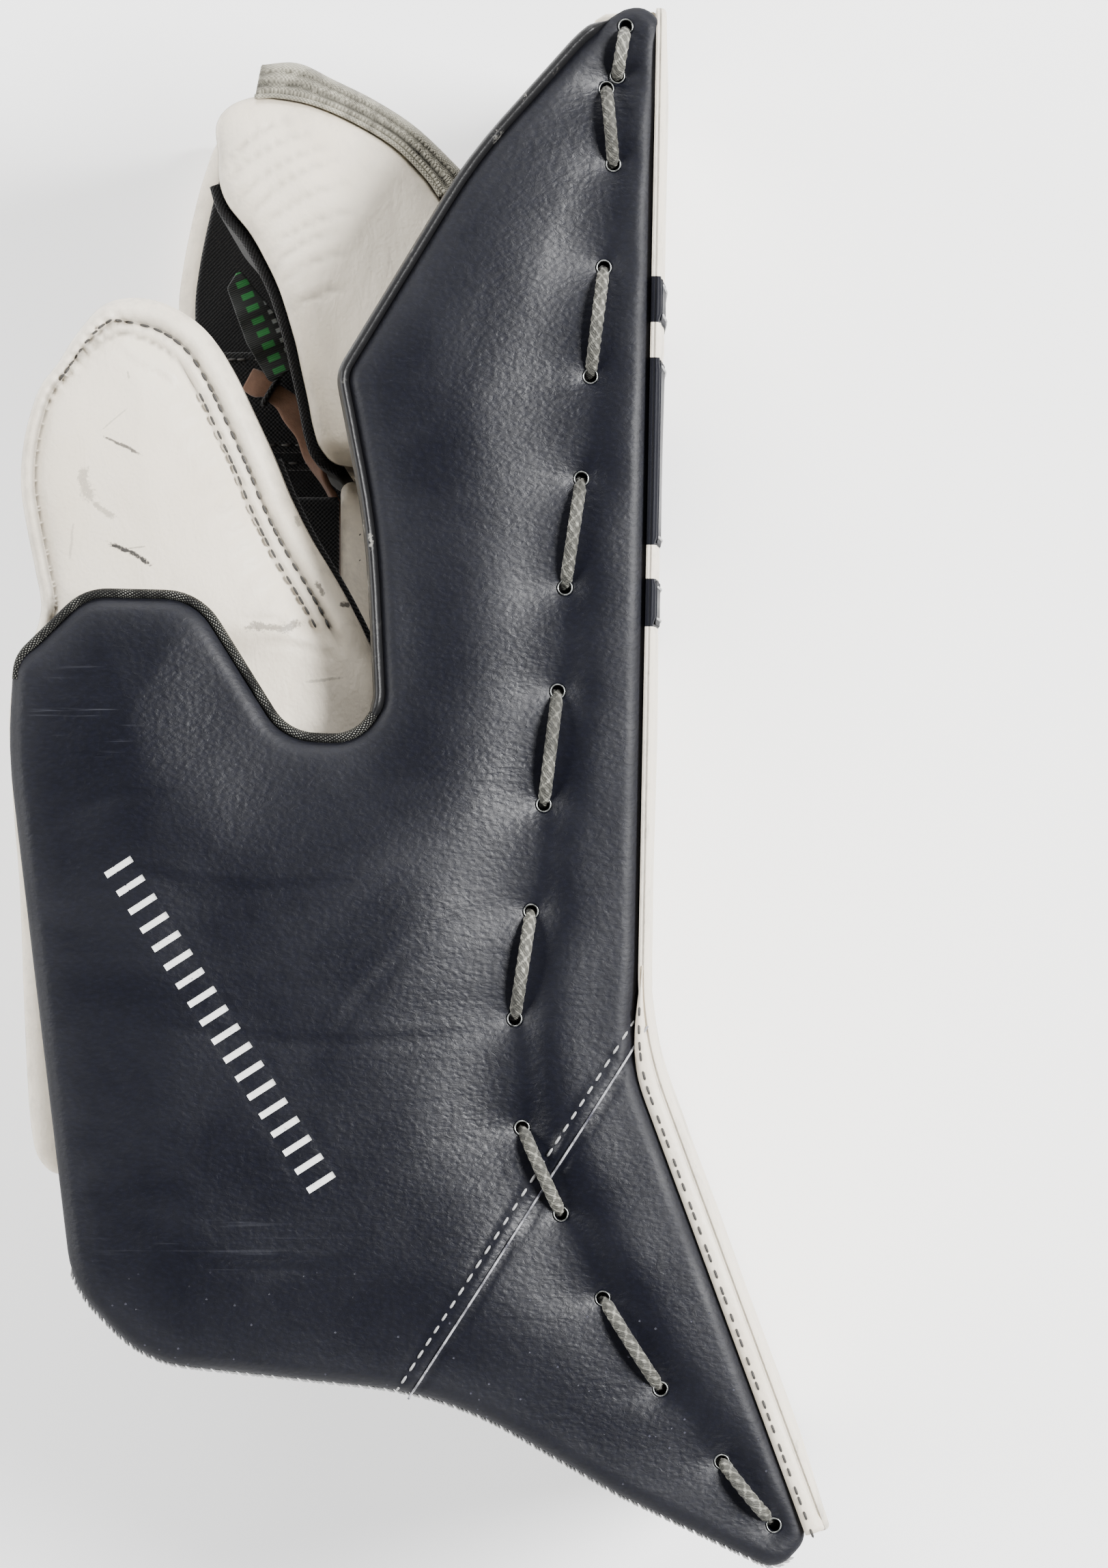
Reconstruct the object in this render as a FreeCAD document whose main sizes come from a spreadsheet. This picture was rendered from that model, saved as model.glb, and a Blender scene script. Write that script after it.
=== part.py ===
"""Goalie blocker for the left hand, lying on its little-finger side with the thumb side up.

Frame: +X out of the striking face of the board, +Y along the board from the finger end to the
cuff, +Z from the little-finger side up to the thumb side. The origin is the centre of the
bounding box at the surface that the blocker lies on. Millimetres.
"""

import FreeCAD, Part
import math
import os

V = FreeCAD.Vector
OUT = "parts"
UP = V(0, 0, 1)

# Driving dimensions: alias, value, what it is.
SIZES = [
    ("board_width", 203.0, "board and side panel across, 8 inches"),
    ("board_length", 381.0, "board along its face, 15 inches"),
    ("upper_length", 251.5, "straight upper part of the board, down to the bend"),
    ("upper_tilt", 1.1, "lean of the upper part from the Y axis, degrees"),
    ("bend_angle", 21.4, "forward bend of the finger end, degrees"),
    ("bend_radius", 85.0, "radius of the bend at the face"),
    ("face_top_x", 61.6, "X of the face at the cuff end"),
    ("face_top_y", 190.4, "Y of the face at the cuff end"),
    ("skin", 1.4, "leather skins"),
    ("front_foam", 8.0, "dense foam behind the face"),
    ("stiffener", 2.0, "plastic stiffeners"),
    ("stiffener_inset", 4.0, "stiffener's distance inside the leather"),
    ("thick_top", 15.0, "board thickness at the cuff end"),
    ("thick_bend", 29.0, "board thickness at the bend"),
    ("thick_tip", 18.0, "board thickness at the finger end"),
    ("corner_round", 18.0, "corners of the board on the little-finger side"),
    ("lace_channel", 6.5, "channel between the board's core and the side panel"),
    ("stripe_thick", 0.7, "inlaid stripes on the face"),
    ("side_thick", 18.0, "side panel"),
    ("lace_dia", 3.5, "braided lace"),
    ("lace_bend", 2.5, "radius of the lace's turns at a hole"),
    ("hole_radius", 2.15, "lace holes"),
    ("eyelet_radius", 3.1, "outside radius of an eyelet's rim"),
    ("eyelet_rim", 0.6, "thickness of an eyelet's rim"),
    ("flange_thick", 1.8, "lacing flange under the side panel"),
    ("flange_half", 8.0, "half the width of the lacing flange"),
    ("toe_roll", 4.6, "rolled white edge below the bend, between the face and the side panel"),
    ("toe_roll_proud", 0.6, "rolled edge's height above the side panel"),
    ("guard_low", 160.0, "lower face of the thumb guard"),
    ("guard_thick", 22.0, "thumb guard and thumb-side cuff"),
    ("thumb_cuff_y", 48.0, "fold line of the thumb-side cuff"),
    ("pinky_guard_thick", 26.0, "each of the two stacked pads beside the little finger"),
    ("pinky_cuff_y", 62.0, "fold line of the little-finger-side cuff"),
    ("pinky_cuff_low", 4.0, "lower face of the little-finger-side cuff"),
    ("pinky_cuff_thick", 18.0, "little-finger-side cuff"),
    ("fold_gap", 0.6, "room between a fold's round end and the piece below it"),
    ("liner", 2.6, "lining"),
    ("hand_low", 52.0, "hand pocket, little-finger side"),
    ("hand_high", 156.0, "hand pocket, thumb side"),
    ("hand_back_x", -20.0, "back wall of the hand pocket"),
    ("palm_x", -62.0, "inner face of the palm"),
    ("palm_thick", 4.0, "palm leather and lining"),
    ("hand_back_thick", 12.0, "padding on the back of the hand"),
    ("gusset", 2.4, "side walls of the hand pocket"),
    ("finger_radius", 11.5, "finger stalls"),
    ("finger_pitch", 24.4, "from one finger to the next"),
    ("finger_first_z", 139.0, "height of the index finger"),
    ("finger_web", 3.7, "wall at the knuckles"),
    ("finger_mouth", 9.0, "radius of the openings into the finger stalls"),
    ("knuckle_x", -41.0, "knuckle line"),
    ("knuckle_y", -16.0, "knuckle line"),
    ("finger_near", 42.0, "knuckle to middle joint"),
    ("finger_far", 28.0, "middle joint to tip centre"),
    ("finger_near_lean", 15.0, "lean of the first finger segment, degrees"),
    ("finger_far_lean", 46.0, "lean of the second finger segment, degrees"),
    ("thumb_radius", 11.0, "thumb stall"),
    ("thumb_length", 46.0, "thumb stall between end centres"),
    ("thumb_lean", 8.0, "lean of the thumb, degrees"),
    ("wrist_low", 40.0, "wrist padding, little-finger side"),
    ("wrist_tall", 126.0, "wrist padding, from one side to the other"),
    ("strap_width", 26.0, "wrist strap"),
    ("strap_thick", 3.0, "wrist strap"),
    ("strap_y", 85.0, "wrist strap's edge nearest the hand"),
    ("strap_x", -89.0, "palm side of the wrist strap"),
    ("strap_reach", 75.0, "free length of the wrist strap"),
    ("strap_fold", 2.4, "room under the strap's free length at its fold"),
    ("strap_top", 123.2, "top of the band that the strap is closed on"),
    ("pile_thick", 1.2, "hook and pile patches"),
    ("thong_low", 126.0, "suede thong, lower edge"),
    ("thong_wide", 9.0, "suede thong"),
    ("label_low", 138.0, "woven label"),
    ("label_thick", 0.8, "woven label"),
]

doc = FreeCAD.newDocument("goalie_blocker")
sheet = doc.addObject("Spreadsheet::Sheet", "sizes")
for row, (alias, value, note) in enumerate(SIZES, start=1):
    sheet.set(f"A{row}", alias)
    sheet.set(f"B{row}", str(value))
    sheet.set(f"C{row}", note)
    sheet.setAlias(f"B{row}", alias)
doc.recompute()

kept = []  # the finished sub-parts, in the order they are made


def size(alias):
    """A driving dimension's value."""
    return float(sheet.get(alias))


def keep(piece, label):
    """Marks a finished document object as a sub-part and names its file."""
    piece.Label = label
    kept.append(piece)
    return piece


# ---------------------------------------------------------------- outlines


def rounded(corners):
    """Edges of a closed outline given as (x, y, radius) corners: straight runs and tangent arcs."""
    runs = []
    for i, (x, y, r) in enumerate(corners):
        here = V(x, y, 0)
        before = V(*corners[i - 1][:2], 0)
        after = V(*corners[(i + 1) % len(corners)][:2], 0)
        into = (here - before).normalize()
        out = (after - here).normalize()
        turn = into.getAngle(out)
        if r <= 0 or turn < 1e-4:
            runs.append((here, None, here))
            continue
        reach = r * math.tan(turn / 2)
        start, end = here - into * reach, here + out * reach
        middle = here + (out - into).normalize() * (r / math.cos(turn / 2) - r)
        runs.append((start, middle, end))
    edges = []
    for i, (start, middle, end) in enumerate(runs):
        if middle is not None:
            edges.append(Part.Arc(start, middle, end))
        following = runs[(i + 1) % len(runs)][0]
        if (following - end).Length > 1e-6:
            edges.append(Part.LineSegment(end, following))
    return edges


def draw(name, corners, owner=None):
    """A sketch of a rounded outline, free-standing or in a body."""
    if owner is None:
        sketch = doc.addObject("Sketcher::SketchObject", name)
    else:
        sketch = owner.newObject("Sketcher::SketchObject", name)
        plane = next(f for f in owner.Origin.OriginFeatures if f.Role == "XY_Plane")
        sketch.AttachmentSupport = (plane, [""])
        sketch.MapMode = "FlatFace"
    sketch.addGeometry(rounded(corners), False)
    return sketch


def pad(label, corners, low, thick, soften=None):
    """A body padded up from a sketch at height low. soften rounds the rims of both flat faces."""
    body = doc.addObject("PartDesign::Body", label)
    sketch = draw(label + "_outline", corners, body)
    sketch.setExpression("AttachmentOffset.Base.z", low)
    feature = body.newObject("PartDesign::Pad", label + "_pad")
    feature.Profile = sketch
    feature.setExpression("Length", thick)
    doc.recompute()
    if soften:
        flat = [
            f"Edge{i}"
            for i, e in enumerate(feature.Shape.Edges, start=1)
            if abs(e.Vertexes[0].Z - e.Vertexes[-1].Z) < 1e-6
        ]
        fillet = body.newObject("PartDesign::Fillet", label + "_rim")
        fillet.Base = (feature, flat)
        fillet.Radius = soften
        doc.recompute()
    return body


def extrude(name, outline, low, thick):
    """A solid of a free-standing outline, from height low."""
    solid = doc.addObject("Part::Extrusion", name)
    solid.Base = outline
    solid.DirMode = "Custom"
    solid.Dir = UP
    solid.Solid = True
    solid.setExpression("LengthFwd", thick)
    solid.setExpression("Placement.Base.z", low)
    return solid


def inset(name, outline, by):
    """An outline moved inwards by a cell's value."""
    offset = doc.addObject("Part::Offset2D", name)
    offset.Source = outline
    offset.setExpression("Value", f"-({by})")
    return offset


def boolean(kind, name, base, tool):
    """Part::Cut or Part::Common of two document objects."""
    result = doc.addObject("Part::" + kind, name)
    result.Base = base
    result.Tool = tool
    return result


# ---------------------------------------------------------------- board


def heading(degrees):
    """Unit vector towards the finger end that leans by degrees from -Y towards +X."""
    return V(math.sin(math.radians(degrees)), -math.cos(math.radians(degrees)), 0)


UPPER = heading(-size("upper_tilt"))
LOWER = heading(size("bend_angle") - size("upper_tilt"))
UPPER_OUT = V(-UPPER.y, UPPER.x, 0)
LOWER_OUT = V(-LOWER.y, LOWER.x, 0)
FACE_TOP = V(size("face_top_x"), size("face_top_y"), 0)
FACE_BEND = FACE_TOP + UPPER * size("upper_length")
FACE_TIP = FACE_BEND + LOWER * (size("board_length") - size("upper_length"))
MITRE = (UPPER_OUT + LOWER_OUT) * (1 / (1 + UPPER_OUT.dot(LOWER_OUT)))


def board_line(depths, shorter=0.0):
    """Three points behind the face, at the cuff end, the bend and the finger end, at these depths."""
    top, bend, tip = depths
    return (
        FACE_TOP + UPPER * shorter - UPPER_OUT * top,
        FACE_BEND - MITRE * bend,
        FACE_TIP - LOWER * shorter - LOWER_OUT * tip,
    )


def strip(front, back, shorter=0.0):
    """Outline of a board layer between two sets of depths."""
    a, b = board_line(front, shorter), board_line(back, shorter)
    radius = size("bend_radius")
    return [
        (a[0].x, a[0].y, 0),
        (a[1].x, a[1].y, radius + front[1]),
        (a[2].x, a[2].y, 0),
        (b[2].x, b[2].y, 0),
        (b[1].x, b[1].y, radius + back[1]),
        (b[0].x, b[0].y, 0),
    ]


def board_layer(label, front, back, low, thick, shorter=0.0, corner=None):
    """A board layer, with its two corners on the little-finger side rounded."""
    body = pad(label, strip(front, back, shorter), low, thick)
    if corner:
        padded = body.Tip
        floor = padded.Shape.BoundBox.ZMin
        ends = (board_line(front, shorter)[0], board_line(front, shorter)[2])
        chosen = []
        for i, e in enumerate(padded.Shape.Edges, start=1):
            on_floor = all(abs(v.Z - floor) < 1e-6 for v in e.Vertexes)
            at_end = any(
                (V(v.X, v.Y, 0) - end).Length < 1e-4 for v in e.Vertexes for end in ends
            )
            across = e.Length < size("thick_bend") + 1
            if on_floor and at_end and across:
                chosen.append(f"Edge{i}")
        fillet = body.newObject("PartDesign::Fillet", label + "_corners")
        fillet.Base = (padded, chosen)
        fillet.setExpression("Radius", corner)
        doc.recompute()
    return body


def even(depth):
    """The same depth at the cuff end, the bend and the finger end."""
    return (depth, depth, depth)


SKIN = size("skin")
PLATE_FRONT = SKIN + size("front_foam")
PLATE_BACK = PLATE_FRONT + size("stiffener")
BACK = (size("thick_top"), size("thick_bend"), size("thick_tip"))
INNER_BACK = tuple(t - SKIN for t in BACK)
CORE_HIGH = "sizes.board_width - sizes.side_thick - sizes.lace_channel"


def make_board():
    """Face skin, foams, stiffener, back skin, wrapped edge and the inlaid stripes."""
    core_thick = f"{CORE_HIGH} - sizes.skin"
    keep(
        board_layer(
            "board_face_skin", even(0), even(SKIN), "0", "sizes.board_width", 0, "sizes.corner_round"
        ),
        "board_face_skin",
    )
    layers = [
        ("board_front_foam", even(SKIN), even(PLATE_FRONT)),
        ("board_back_foam", even(PLATE_BACK), INNER_BACK),
        ("board_back_skin", INNER_BACK, BACK),
    ]
    for label, front, back in layers:
        keep(
            board_layer(
                label, front, back, "sizes.skin", core_thick, SKIN, "sizes.corner_round - sizes.skin"
            ),
            label,
        )
    plate_inset = size("stiffener_inset")
    keep(
        board_layer(
            "board_stiffener",
            even(PLATE_FRONT),
            even(PLATE_BACK),
            "sizes.skin + sizes.stiffener_inset",
            f"{core_thick} - 2 * sizes.stiffener_inset",
            SKIN + plate_inset,
            "sizes.corner_round - sizes.skin - sizes.stiffener_inset",
        ),
        "board_stiffener",
    )
    whole = board_layer(
        "board_envelope", even(SKIN), BACK, "0", CORE_HIGH, 0, "sizes.corner_round"
    )
    past = 1.0
    room = board_layer(
        "board_room",
        even(SKIN - past),
        tuple(t + past for t in BACK),
        "sizes.skin",
        f"{CORE_HIGH} + {past}",
        SKIN,
        "sizes.corner_round - sizes.skin",
    )
    keep(boolean("Cut", "board_edge_skin", whole, room), "board_edge_skin")


STRIPES = [
    ("face_stripe_upper", 123.5, 112.3),
    ("face_band", 103.7, 58.0),
    ("face_stripe_lower", 49.8, 38.1),
]


def make_stripes():
    """Three inlays across the face, each a flat strip on the straight upper part."""
    proud = UPPER_OUT * size("stripe_thick")
    for label, high, low in STRIPES:
        along = [UPPER * ((size("face_top_y") - y) / -UPPER.y) + FACE_TOP for y in (high, low)]
        corners = [along[0], along[1], along[1] + proud, along[0] + proud]
        keep(
            pad(label, [(p.x, p.y, 0) for p in corners], "sizes.skin", "sizes.board_width - 2 * sizes.skin"),
            label,
        )


# ---------------------------------------------------------------- side panel

# Stitches of the lace on the outside of the side panel, from the cuff end to the finger end:
# where each comes up through its hole and where it goes down again.
STITCHES = [
    ((51.2, 184.0), (50.2, 175.4)),
    ((46.9, 169.6), (48.4, 151.0)),
    ((46.1, 125.8), (42.8, 99.2)),
    ((40.6, 74.2), (36.6, 47.6)),
    ((34.8, 22.3), (31.4, -5.3)),
    ((28.3, -31.4), (24.3, -57.6)),
    ((26.1, -84.2), (35.6, -105.2)),
    ((45.8, -125.8), (59.9, -147.9)),
    ((74.9, -165.7), (87.6, -181.2)),
]
SEAM = ((56.5, -60.0), (-1.3, -150.0))  # where the finger panel is sewn to the main panel


ROLL_BACK = SKIN + size("toe_roll")


def roll_start():
    """Where the bend begins: the point on the face leather's back, and the one behind the roll."""
    front, behind = board_line(even(SKIN)), board_line(even(ROLL_BACK))
    turn = math.radians(size("bend_angle")) / 2
    outer = front[1] - UPPER * (size("bend_radius") + SKIN) * math.tan(turn)
    inner = behind[1] - UPPER * (size("bend_radius") + ROLL_BACK) * math.tan(turn)
    return outer, inner


def side_corners():
    """Outline of the side panel: along the face, round the finger end, the palm side and the notch."""
    front, behind = board_line(even(SKIN)), board_line(even(ROLL_BACK))
    outer, inner = roll_start()
    return [
        (front[0].x, front[0].y + 1.2, 6),
        (outer.x, outer.y, 0),
        (inner.x, inner.y, 0),
        (behind[1].x, behind[1].y, size("bend_radius") + ROLL_BACK),
        (behind[2].x, behind[2].y, 6),
        (88.5, -192.6, 6),
        (50.0, -174.0, 40),
        (8.0, -149.5, 90),
        (-66.0, -141.5, 30),
        (-84.0, -123.0, 26),
        (-99.6, 8.0, 120),
        (-98.2, 31.0, 10),
        (-81.0, 47.6, 14),
        (-52.5, 47.0, 16),
        (-31.0, 12.5, 12),
        (-9.5, 11.5, 10),
        (-12.0, 62.0, 200),
        (-19.3, 100.0, 9),
        (13.0, 153.0, 130),
        (43.0, 186.5, 26),
    ]


def hole_points():
    """Every lace hole, in order along the lace."""
    return [p for stitch in STITCHES for p in stitch]


def rods(name, radius, low, tall):
    """A bundle of upright rods, one at each lace hole."""
    made = []
    for i, (x, y) in enumerate(hole_points(), start=1):
        rod = doc.addObject("Part::Cylinder", f"{name}_{i}")
        rod.setExpression("Radius", radius)
        rod.setExpression("Height", tall)
        rod.Placement.Base = V(x, y, 0)
        rod.setExpression("Placement.Base.z", low)
        made.append(rod)
    bundle = doc.addObject("Part::Compound", name)
    bundle.Links = made
    return bundle


def make_side_panel():
    """Edge wrap, inner skin, stiffener, foam and the two sewn outer panels, all with lace holes."""
    seat = "sizes.board_width - sizes.side_thick"
    outline = draw("side_outline", side_corners())
    within = inset("side_within", outline, "sizes.skin")
    deep = inset("side_deep", outline, "sizes.skin + sizes.stiffener_inset")
    holes = rods("side_holes", "sizes.hole_radius", f"{seat} - 1", "sizes.side_thick + 2")
    wide = rods(
        "eyelet_holes", "sizes.hole_radius + 0.5", "sizes.board_width - sizes.skin - 1", "sizes.skin + 2"
    )

    whole = extrude("side_whole", outline, seat, "sizes.side_thick")
    core = extrude("side_core", within, f"{seat} - 1", "sizes.side_thick + 2")
    keep(boolean("Cut", "side_edge_wrap", whole, core), "side_edge_wrap")

    inner = extrude("side_inner", within, seat, "sizes.skin")
    keep(boolean("Cut", "side_inner_skin", inner, holes), "side_inner_skin")

    plate = extrude("side_plate", deep, f"{seat} + sizes.skin", "sizes.stiffener")
    keep(boolean("Cut", "side_stiffener", plate, holes), "side_stiffener")

    foam = extrude(
        "side_fill",
        within,
        f"{seat} + sizes.skin + sizes.stiffener",
        "sizes.side_thick - 2 * sizes.skin - sizes.stiffener",
    )
    keep(boolean("Cut", "side_foam", foam, holes), "side_foam")

    outer = extrude("side_outer", within, "sizes.board_width - sizes.skin", "sizes.skin")
    pierced = boolean("Cut", "side_outer_pierced", outer, wide)
    (ax, ay), (bx, by) = SEAM
    reach = 300.0
    run = V(ax - bx, ay - by, 0).normalize()
    down = V(run.y, -run.x, 0)
    a, b = V(ax, ay, 0) + run * reach, V(bx, by, 0) - run * reach
    corners = [a, b, b + down * reach, a + down * reach]
    region = extrude(
        "finger_region",
        draw("finger_region_outline", [(p.x, p.y, 0) for p in corners]),
        "sizes.board_width - 10",
        "20",
    )
    keep(boolean("Cut", "side_main_panel", pierced, region), "side_main_panel")
    keep(boolean("Common", "side_finger_panel", pierced, region), "side_finger_panel")


def make_eyelets():
    """One eyelet for each lace hole: a barrel through the skin and a rim on top."""
    top = "sizes.board_width"
    barrels = rods("barrels", "sizes.hole_radius + 0.45", f"{top} - sizes.skin", "sizes.skin")
    rims = rods("rims", "sizes.eyelet_radius", top, "sizes.eyelet_rim")
    bores = rods("bores", "sizes.hole_radius", f"{top} - 5", "10")
    both = doc.addObject("Part::MultiFuse", "eyelet_blanks")
    both.Shapes = [barrels, rims]
    keep(boolean("Cut", "lace_eyelets", both, bores), "lace_eyelets")


def make_toe_roll():
    """Rolled white edge from the bend to the finger end, between the face and the side panel."""
    front, behind = board_line(even(SKIN)), board_line(even(ROLL_BACK))
    outer, inner = roll_start()
    corners = [
        (outer.x, outer.y, 0),
        (front[1].x, front[1].y, size("bend_radius") + SKIN),
        (front[2].x, front[2].y, 0),
        (behind[2].x, behind[2].y, 0),
        (behind[1].x, behind[1].y, size("bend_radius") + ROLL_BACK),
        (inner.x, inner.y, 0),
    ]
    low = "sizes.board_width - sizes.side_thick"
    keep(pad("toe_edge_roll", corners, low, "sizes.side_thick + sizes.toe_roll_proud"), "toe_edge_roll")


def make_flange():
    """Leather leaf of the face, turned in under the side panel: the lace ties the panel to it."""
    half, reach = size("flange_half"), 5.0
    points = [V(x, y, 0) for x, y in hole_points()]
    guide = [
        points[0] - (points[4] - points[0]).normalize() * reach,
        V(25.6, -70.0, 0),
        V(40.0, -117.0, 0),
        points[-1] + (points[-1] - points[-2]).normalize() * reach,
    ]
    corners = [(p.x, p.y, 0) for p in board_line(even(SKIN))]
    corners[1] = (*corners[1][:2], size("bend_radius") + SKIN)
    for i in (3, 2, 1, 0):
        run = (guide[min(i + 1, 3)] - guide[max(i - 1, 0)]).normalize()
        p = guide[i] - V(-run.y, run.x, 0) * half
        corners.append((p.x, p.y, 40 if i in (1, 2) else 4))
    outline = draw("flange_outline", corners)
    low = "sizes.board_width - sizes.side_thick - sizes.flange_thick - 0.1"
    blank = extrude("flange_blank", outline, low, "sizes.flange_thick")
    holes = rods("flange_holes", "sizes.hole_radius", f"{low} - 1", "sizes.flange_thick + 2")
    keep(boolean("Cut", "lacing_flange", blank, holes), "lacing_flange")


def lace_route():
    """The lace's corner points: over each stitch, down its holes and under the flange to the next."""
    clear = 0.15
    high = size("board_width") + size("eyelet_rim") + clear + size("lace_dia") / 2
    flange_low = size("board_width") - size("side_thick") - size("flange_thick") - 0.1
    low = flange_low - clear - size("lace_dia") / 2
    route = []
    for (x1, y1), (x2, y2) in STITCHES:
        route += [V(x1, y1, low), V(x1, y1, high), V(x2, y2, high), V(x2, y2, low)]
    route[0].z = route[-1].z = flange_low
    return route


def make_lace():
    """The lace as one tube of straight runs and tangent arcs, and a knot at each end of it."""
    route, radius = lace_route(), size("lace_bend")
    edges, at = [], route[0]
    for before, here, after in zip(route, route[1:], route[2:]):
        into, out = (here - before).normalize(), (after - here).normalize()
        turn = into.getAngle(out)
        reach = radius * math.tan(turn / 2)
        middle = here + (out - into).normalize() * (radius / math.cos(turn / 2) - radius)
        start, end = here - into * reach, here + out * reach
        edges.append(Part.LineSegment(at, start).toShape())
        edges.append(Part.Arc(start, middle, end).toShape())
        at = end
    edges.append(Part.LineSegment(at, route[-1]).toShape())
    path = Part.Wire(edges)
    section = Part.Wire(Part.makeCircle(size("lace_dia") / 2, route[0], UP))
    tube = path.makePipeShell([section], True, True)
    want = path.Length * math.pi * (size("lace_dia") / 2) ** 2
    bends = sorted({round(e.Curve.Radius, 2) for e in path.Edges if isinstance(e.Curve, Part.Circle)})
    print(f"lace {path.Length:.0f} mm long, bends of radius {bends} mm")
    print(f"lace volume over section times length: {tube.Volume / want:.3f}")
    lace = doc.addObject("Part::Feature", "side_lace")
    lace.Shape = Part.Solid(tube) if tube.ShapeType != "Solid" else tube
    keep(lace, "side_lace")

    knots = []
    for i, end in enumerate((route[0], route[-1])):
        knot = doc.addObject("Part::Cylinder", f"knot_{i}")
        knot.setExpression("Radius", "sizes.lace_dia")
        knot.setExpression("Height", "sizes.lace_dia")
        knot.Placement.Base = V(end.x, end.y, end.z - size("lace_dia") - 0.05)
        knots.append(knot)
    pair = doc.addObject("Part::Compound", "lace_knots")
    pair.Links = knots
    keep(pair, "lace_knots")


# ---------------------------------------------------------------- thumb side


def fold_profile(name, fold_y, far_y, low, thick, wide=120.0):
    """A slab across X whose lower end is round about a fold line: a block and a rod, fused."""
    radius = f"({thick}) / 2"
    block = doc.addObject("Part::Box", name + "_block")
    block.setExpression("Width", f"{far_y} - {fold_y}")
    block.setExpression("Height", thick)
    block.Length = wide
    block.Placement.Base = V(-wide + 10, 0, 0)
    block.setExpression("Placement.Base.y", fold_y)
    block.setExpression("Placement.Base.z", low)
    rod = doc.addObject("Part::Cylinder", name + "_rod")
    rod.setExpression("Radius", radius)
    rod.Height = wide
    rod.Placement = FreeCAD.Placement(V(-wide + 10, 0, 0), FreeCAD.Rotation(V(0, 1, 0), 90))
    rod.setExpression("Placement.Base.y", fold_y)
    rod.setExpression("Placement.Base.z", f"{low} + {radius}")
    slab = doc.addObject("Part::MultiFuse", name + "_slab")
    slab.Shapes = [block, rod]
    return slab


THUMB_CUFF = [
    (-86.5, 30.0, 0),
    (-94.5, 82.0, 40),
    (-84.0, 107.5, 24),
    (-62.5, 121.5, 13),
    (-44.0, 102.0, 60),
    (-20.5, 53.0, 30),
    (-16.0, 30.0, 0),
]
THUMB_GUARD = [
    (-91.5, 36.9, 4),
    (-99.9, 9.0, 90),
    (-96.6, -52.0, 120),
    (-91.5, -95.0, 7),
    (-58.0, -95.0, 20),
    (-36.0, -56.0, 40),
    (-7.0, 6.0, 30),
    (-7.0, 36.9, 4),
]
GUARD_TIE = (-60.0, -22.0, 4.0, 34.0)


def make_thumb_side():
    """The thumb guard behind the side panel and the cuff that folds above it."""
    low, thick = "sizes.guard_low", "sizes.guard_thick"
    fold = size("thumb_cuff_y") - size("guard_thick") / 2 - size("fold_gap")
    corners = [(x, min(y, fold), r) for x, y, r in THUMB_GUARD]
    keep(pad("thumb_guard", corners, low, thick, 3.0), "thumb_guard")
    tie = box_corners(*GUARD_TIE, 3)
    keep(pad("thumb_guard_tie", tie, "sizes.hand_high", f"{low} - sizes.hand_high"), "thumb_guard_tie")

    outline = draw("thumb_cuff_outline", THUMB_CUFF)
    inside = inset("thumb_cuff_inside", outline, "6")
    slab = fold_profile("thumb_fold", "sizes.thumb_cuff_y", 125, low, thick)
    centre = extrude("thumb_cuff_centre", inside, low, thick)
    keep(boolean("Common", "thumb_cuff_pad", centre, slab), "thumb_cuff_pad")

    roll_low, roll_thick = f"{low} + 5", f"{thick} - 10"
    rim = boolean(
        "Cut",
        "thumb_cuff_rim",
        extrude("thumb_rim_outer", outline, roll_low, roll_thick),
        extrude("thumb_rim_inner", inside, f"{low} - 1", f"{thick} + 2"),
    )
    above = doc.addObject("Part::Box", "above_fold")
    above.Length, above.Width, above.Height = 140, 100, 60
    above.Placement.Base = V(-120, 0, 150)
    above.setExpression("Placement.Base.y", "sizes.thumb_cuff_y + 2")
    keep(boolean("Common", "thumb_cuff_roll", rim, above), "thumb_cuff_roll")


# ---------------------------------------------------------------- little-finger side

PINKY_CUFF = [
    (-64.0, 40.0, 0),
    (-70.0, 138.0, 30),
    (-58.0, 164.0, 14),
    (-24.0, 169.0, 16),
    (-4.0, 150.0, 24),
    (-4.0, 40.0, 0),
]
PINKY_GUARD = [
    (-70.0, 52.4, 6),
    (-82.0, -10.0, 90),
    (-78.0, -70.0, 30),
    (-62.0, -88.0, 16),
    (6.0, -80.0, 24),
    (20.0, -40.0, 30),
    (20.0, 52.4, 6),
]


def make_pinky_side():
    """Two stacked guard pads beside the little finger, and the cuff that folds above them."""
    thick = "sizes.pinky_guard_thick"
    keep(pad("pinky_guard_outer", PINKY_GUARD, "0", thick, 3.0), "pinky_guard_outer")
    smaller = [(x * 0.9, y * 0.9 + 3.5, r) for x, y, r in PINKY_GUARD]
    inner = pad("pinky_guard_inner", smaller, thick, f"sizes.hand_low - {thick}", 3.0)
    keep(inner, "pinky_guard_inner")

    low, thick = "sizes.pinky_cuff_low", "sizes.pinky_cuff_thick"
    outline = draw("pinky_cuff_outline", PINKY_CUFF)
    slab = fold_profile("pinky_fold", "sizes.pinky_cuff_y", 180, low, thick)
    whole = extrude("pinky_cuff_whole", outline, low, thick)
    keep(boolean("Common", "pinky_cuff_pad", whole, slab), "pinky_cuff_pad")

    lining = [(x, max(y, 66.0), r) for x, y, r in PINKY_CUFF]
    inside = inset("pinky_lining_outline", draw("pinky_lining_sketch", lining), "3")
    keep(
        extrude("pinky_cuff_liner", inside, f"{low} + {thick} + 0.2", "sizes.liner"),
        "pinky_cuff_liner",
    )


# ---------------------------------------------------------------- back of the wrist

def rear_x(y, gap=0.05):
    """X just behind the board's back skin at this Y, on the straight upper part."""
    top, bend, _ = board_line(tuple(t + gap for t in BACK))
    return top.x + (bend.x - top.x) * (top.y - y) / (top.y - bend.y)


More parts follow.
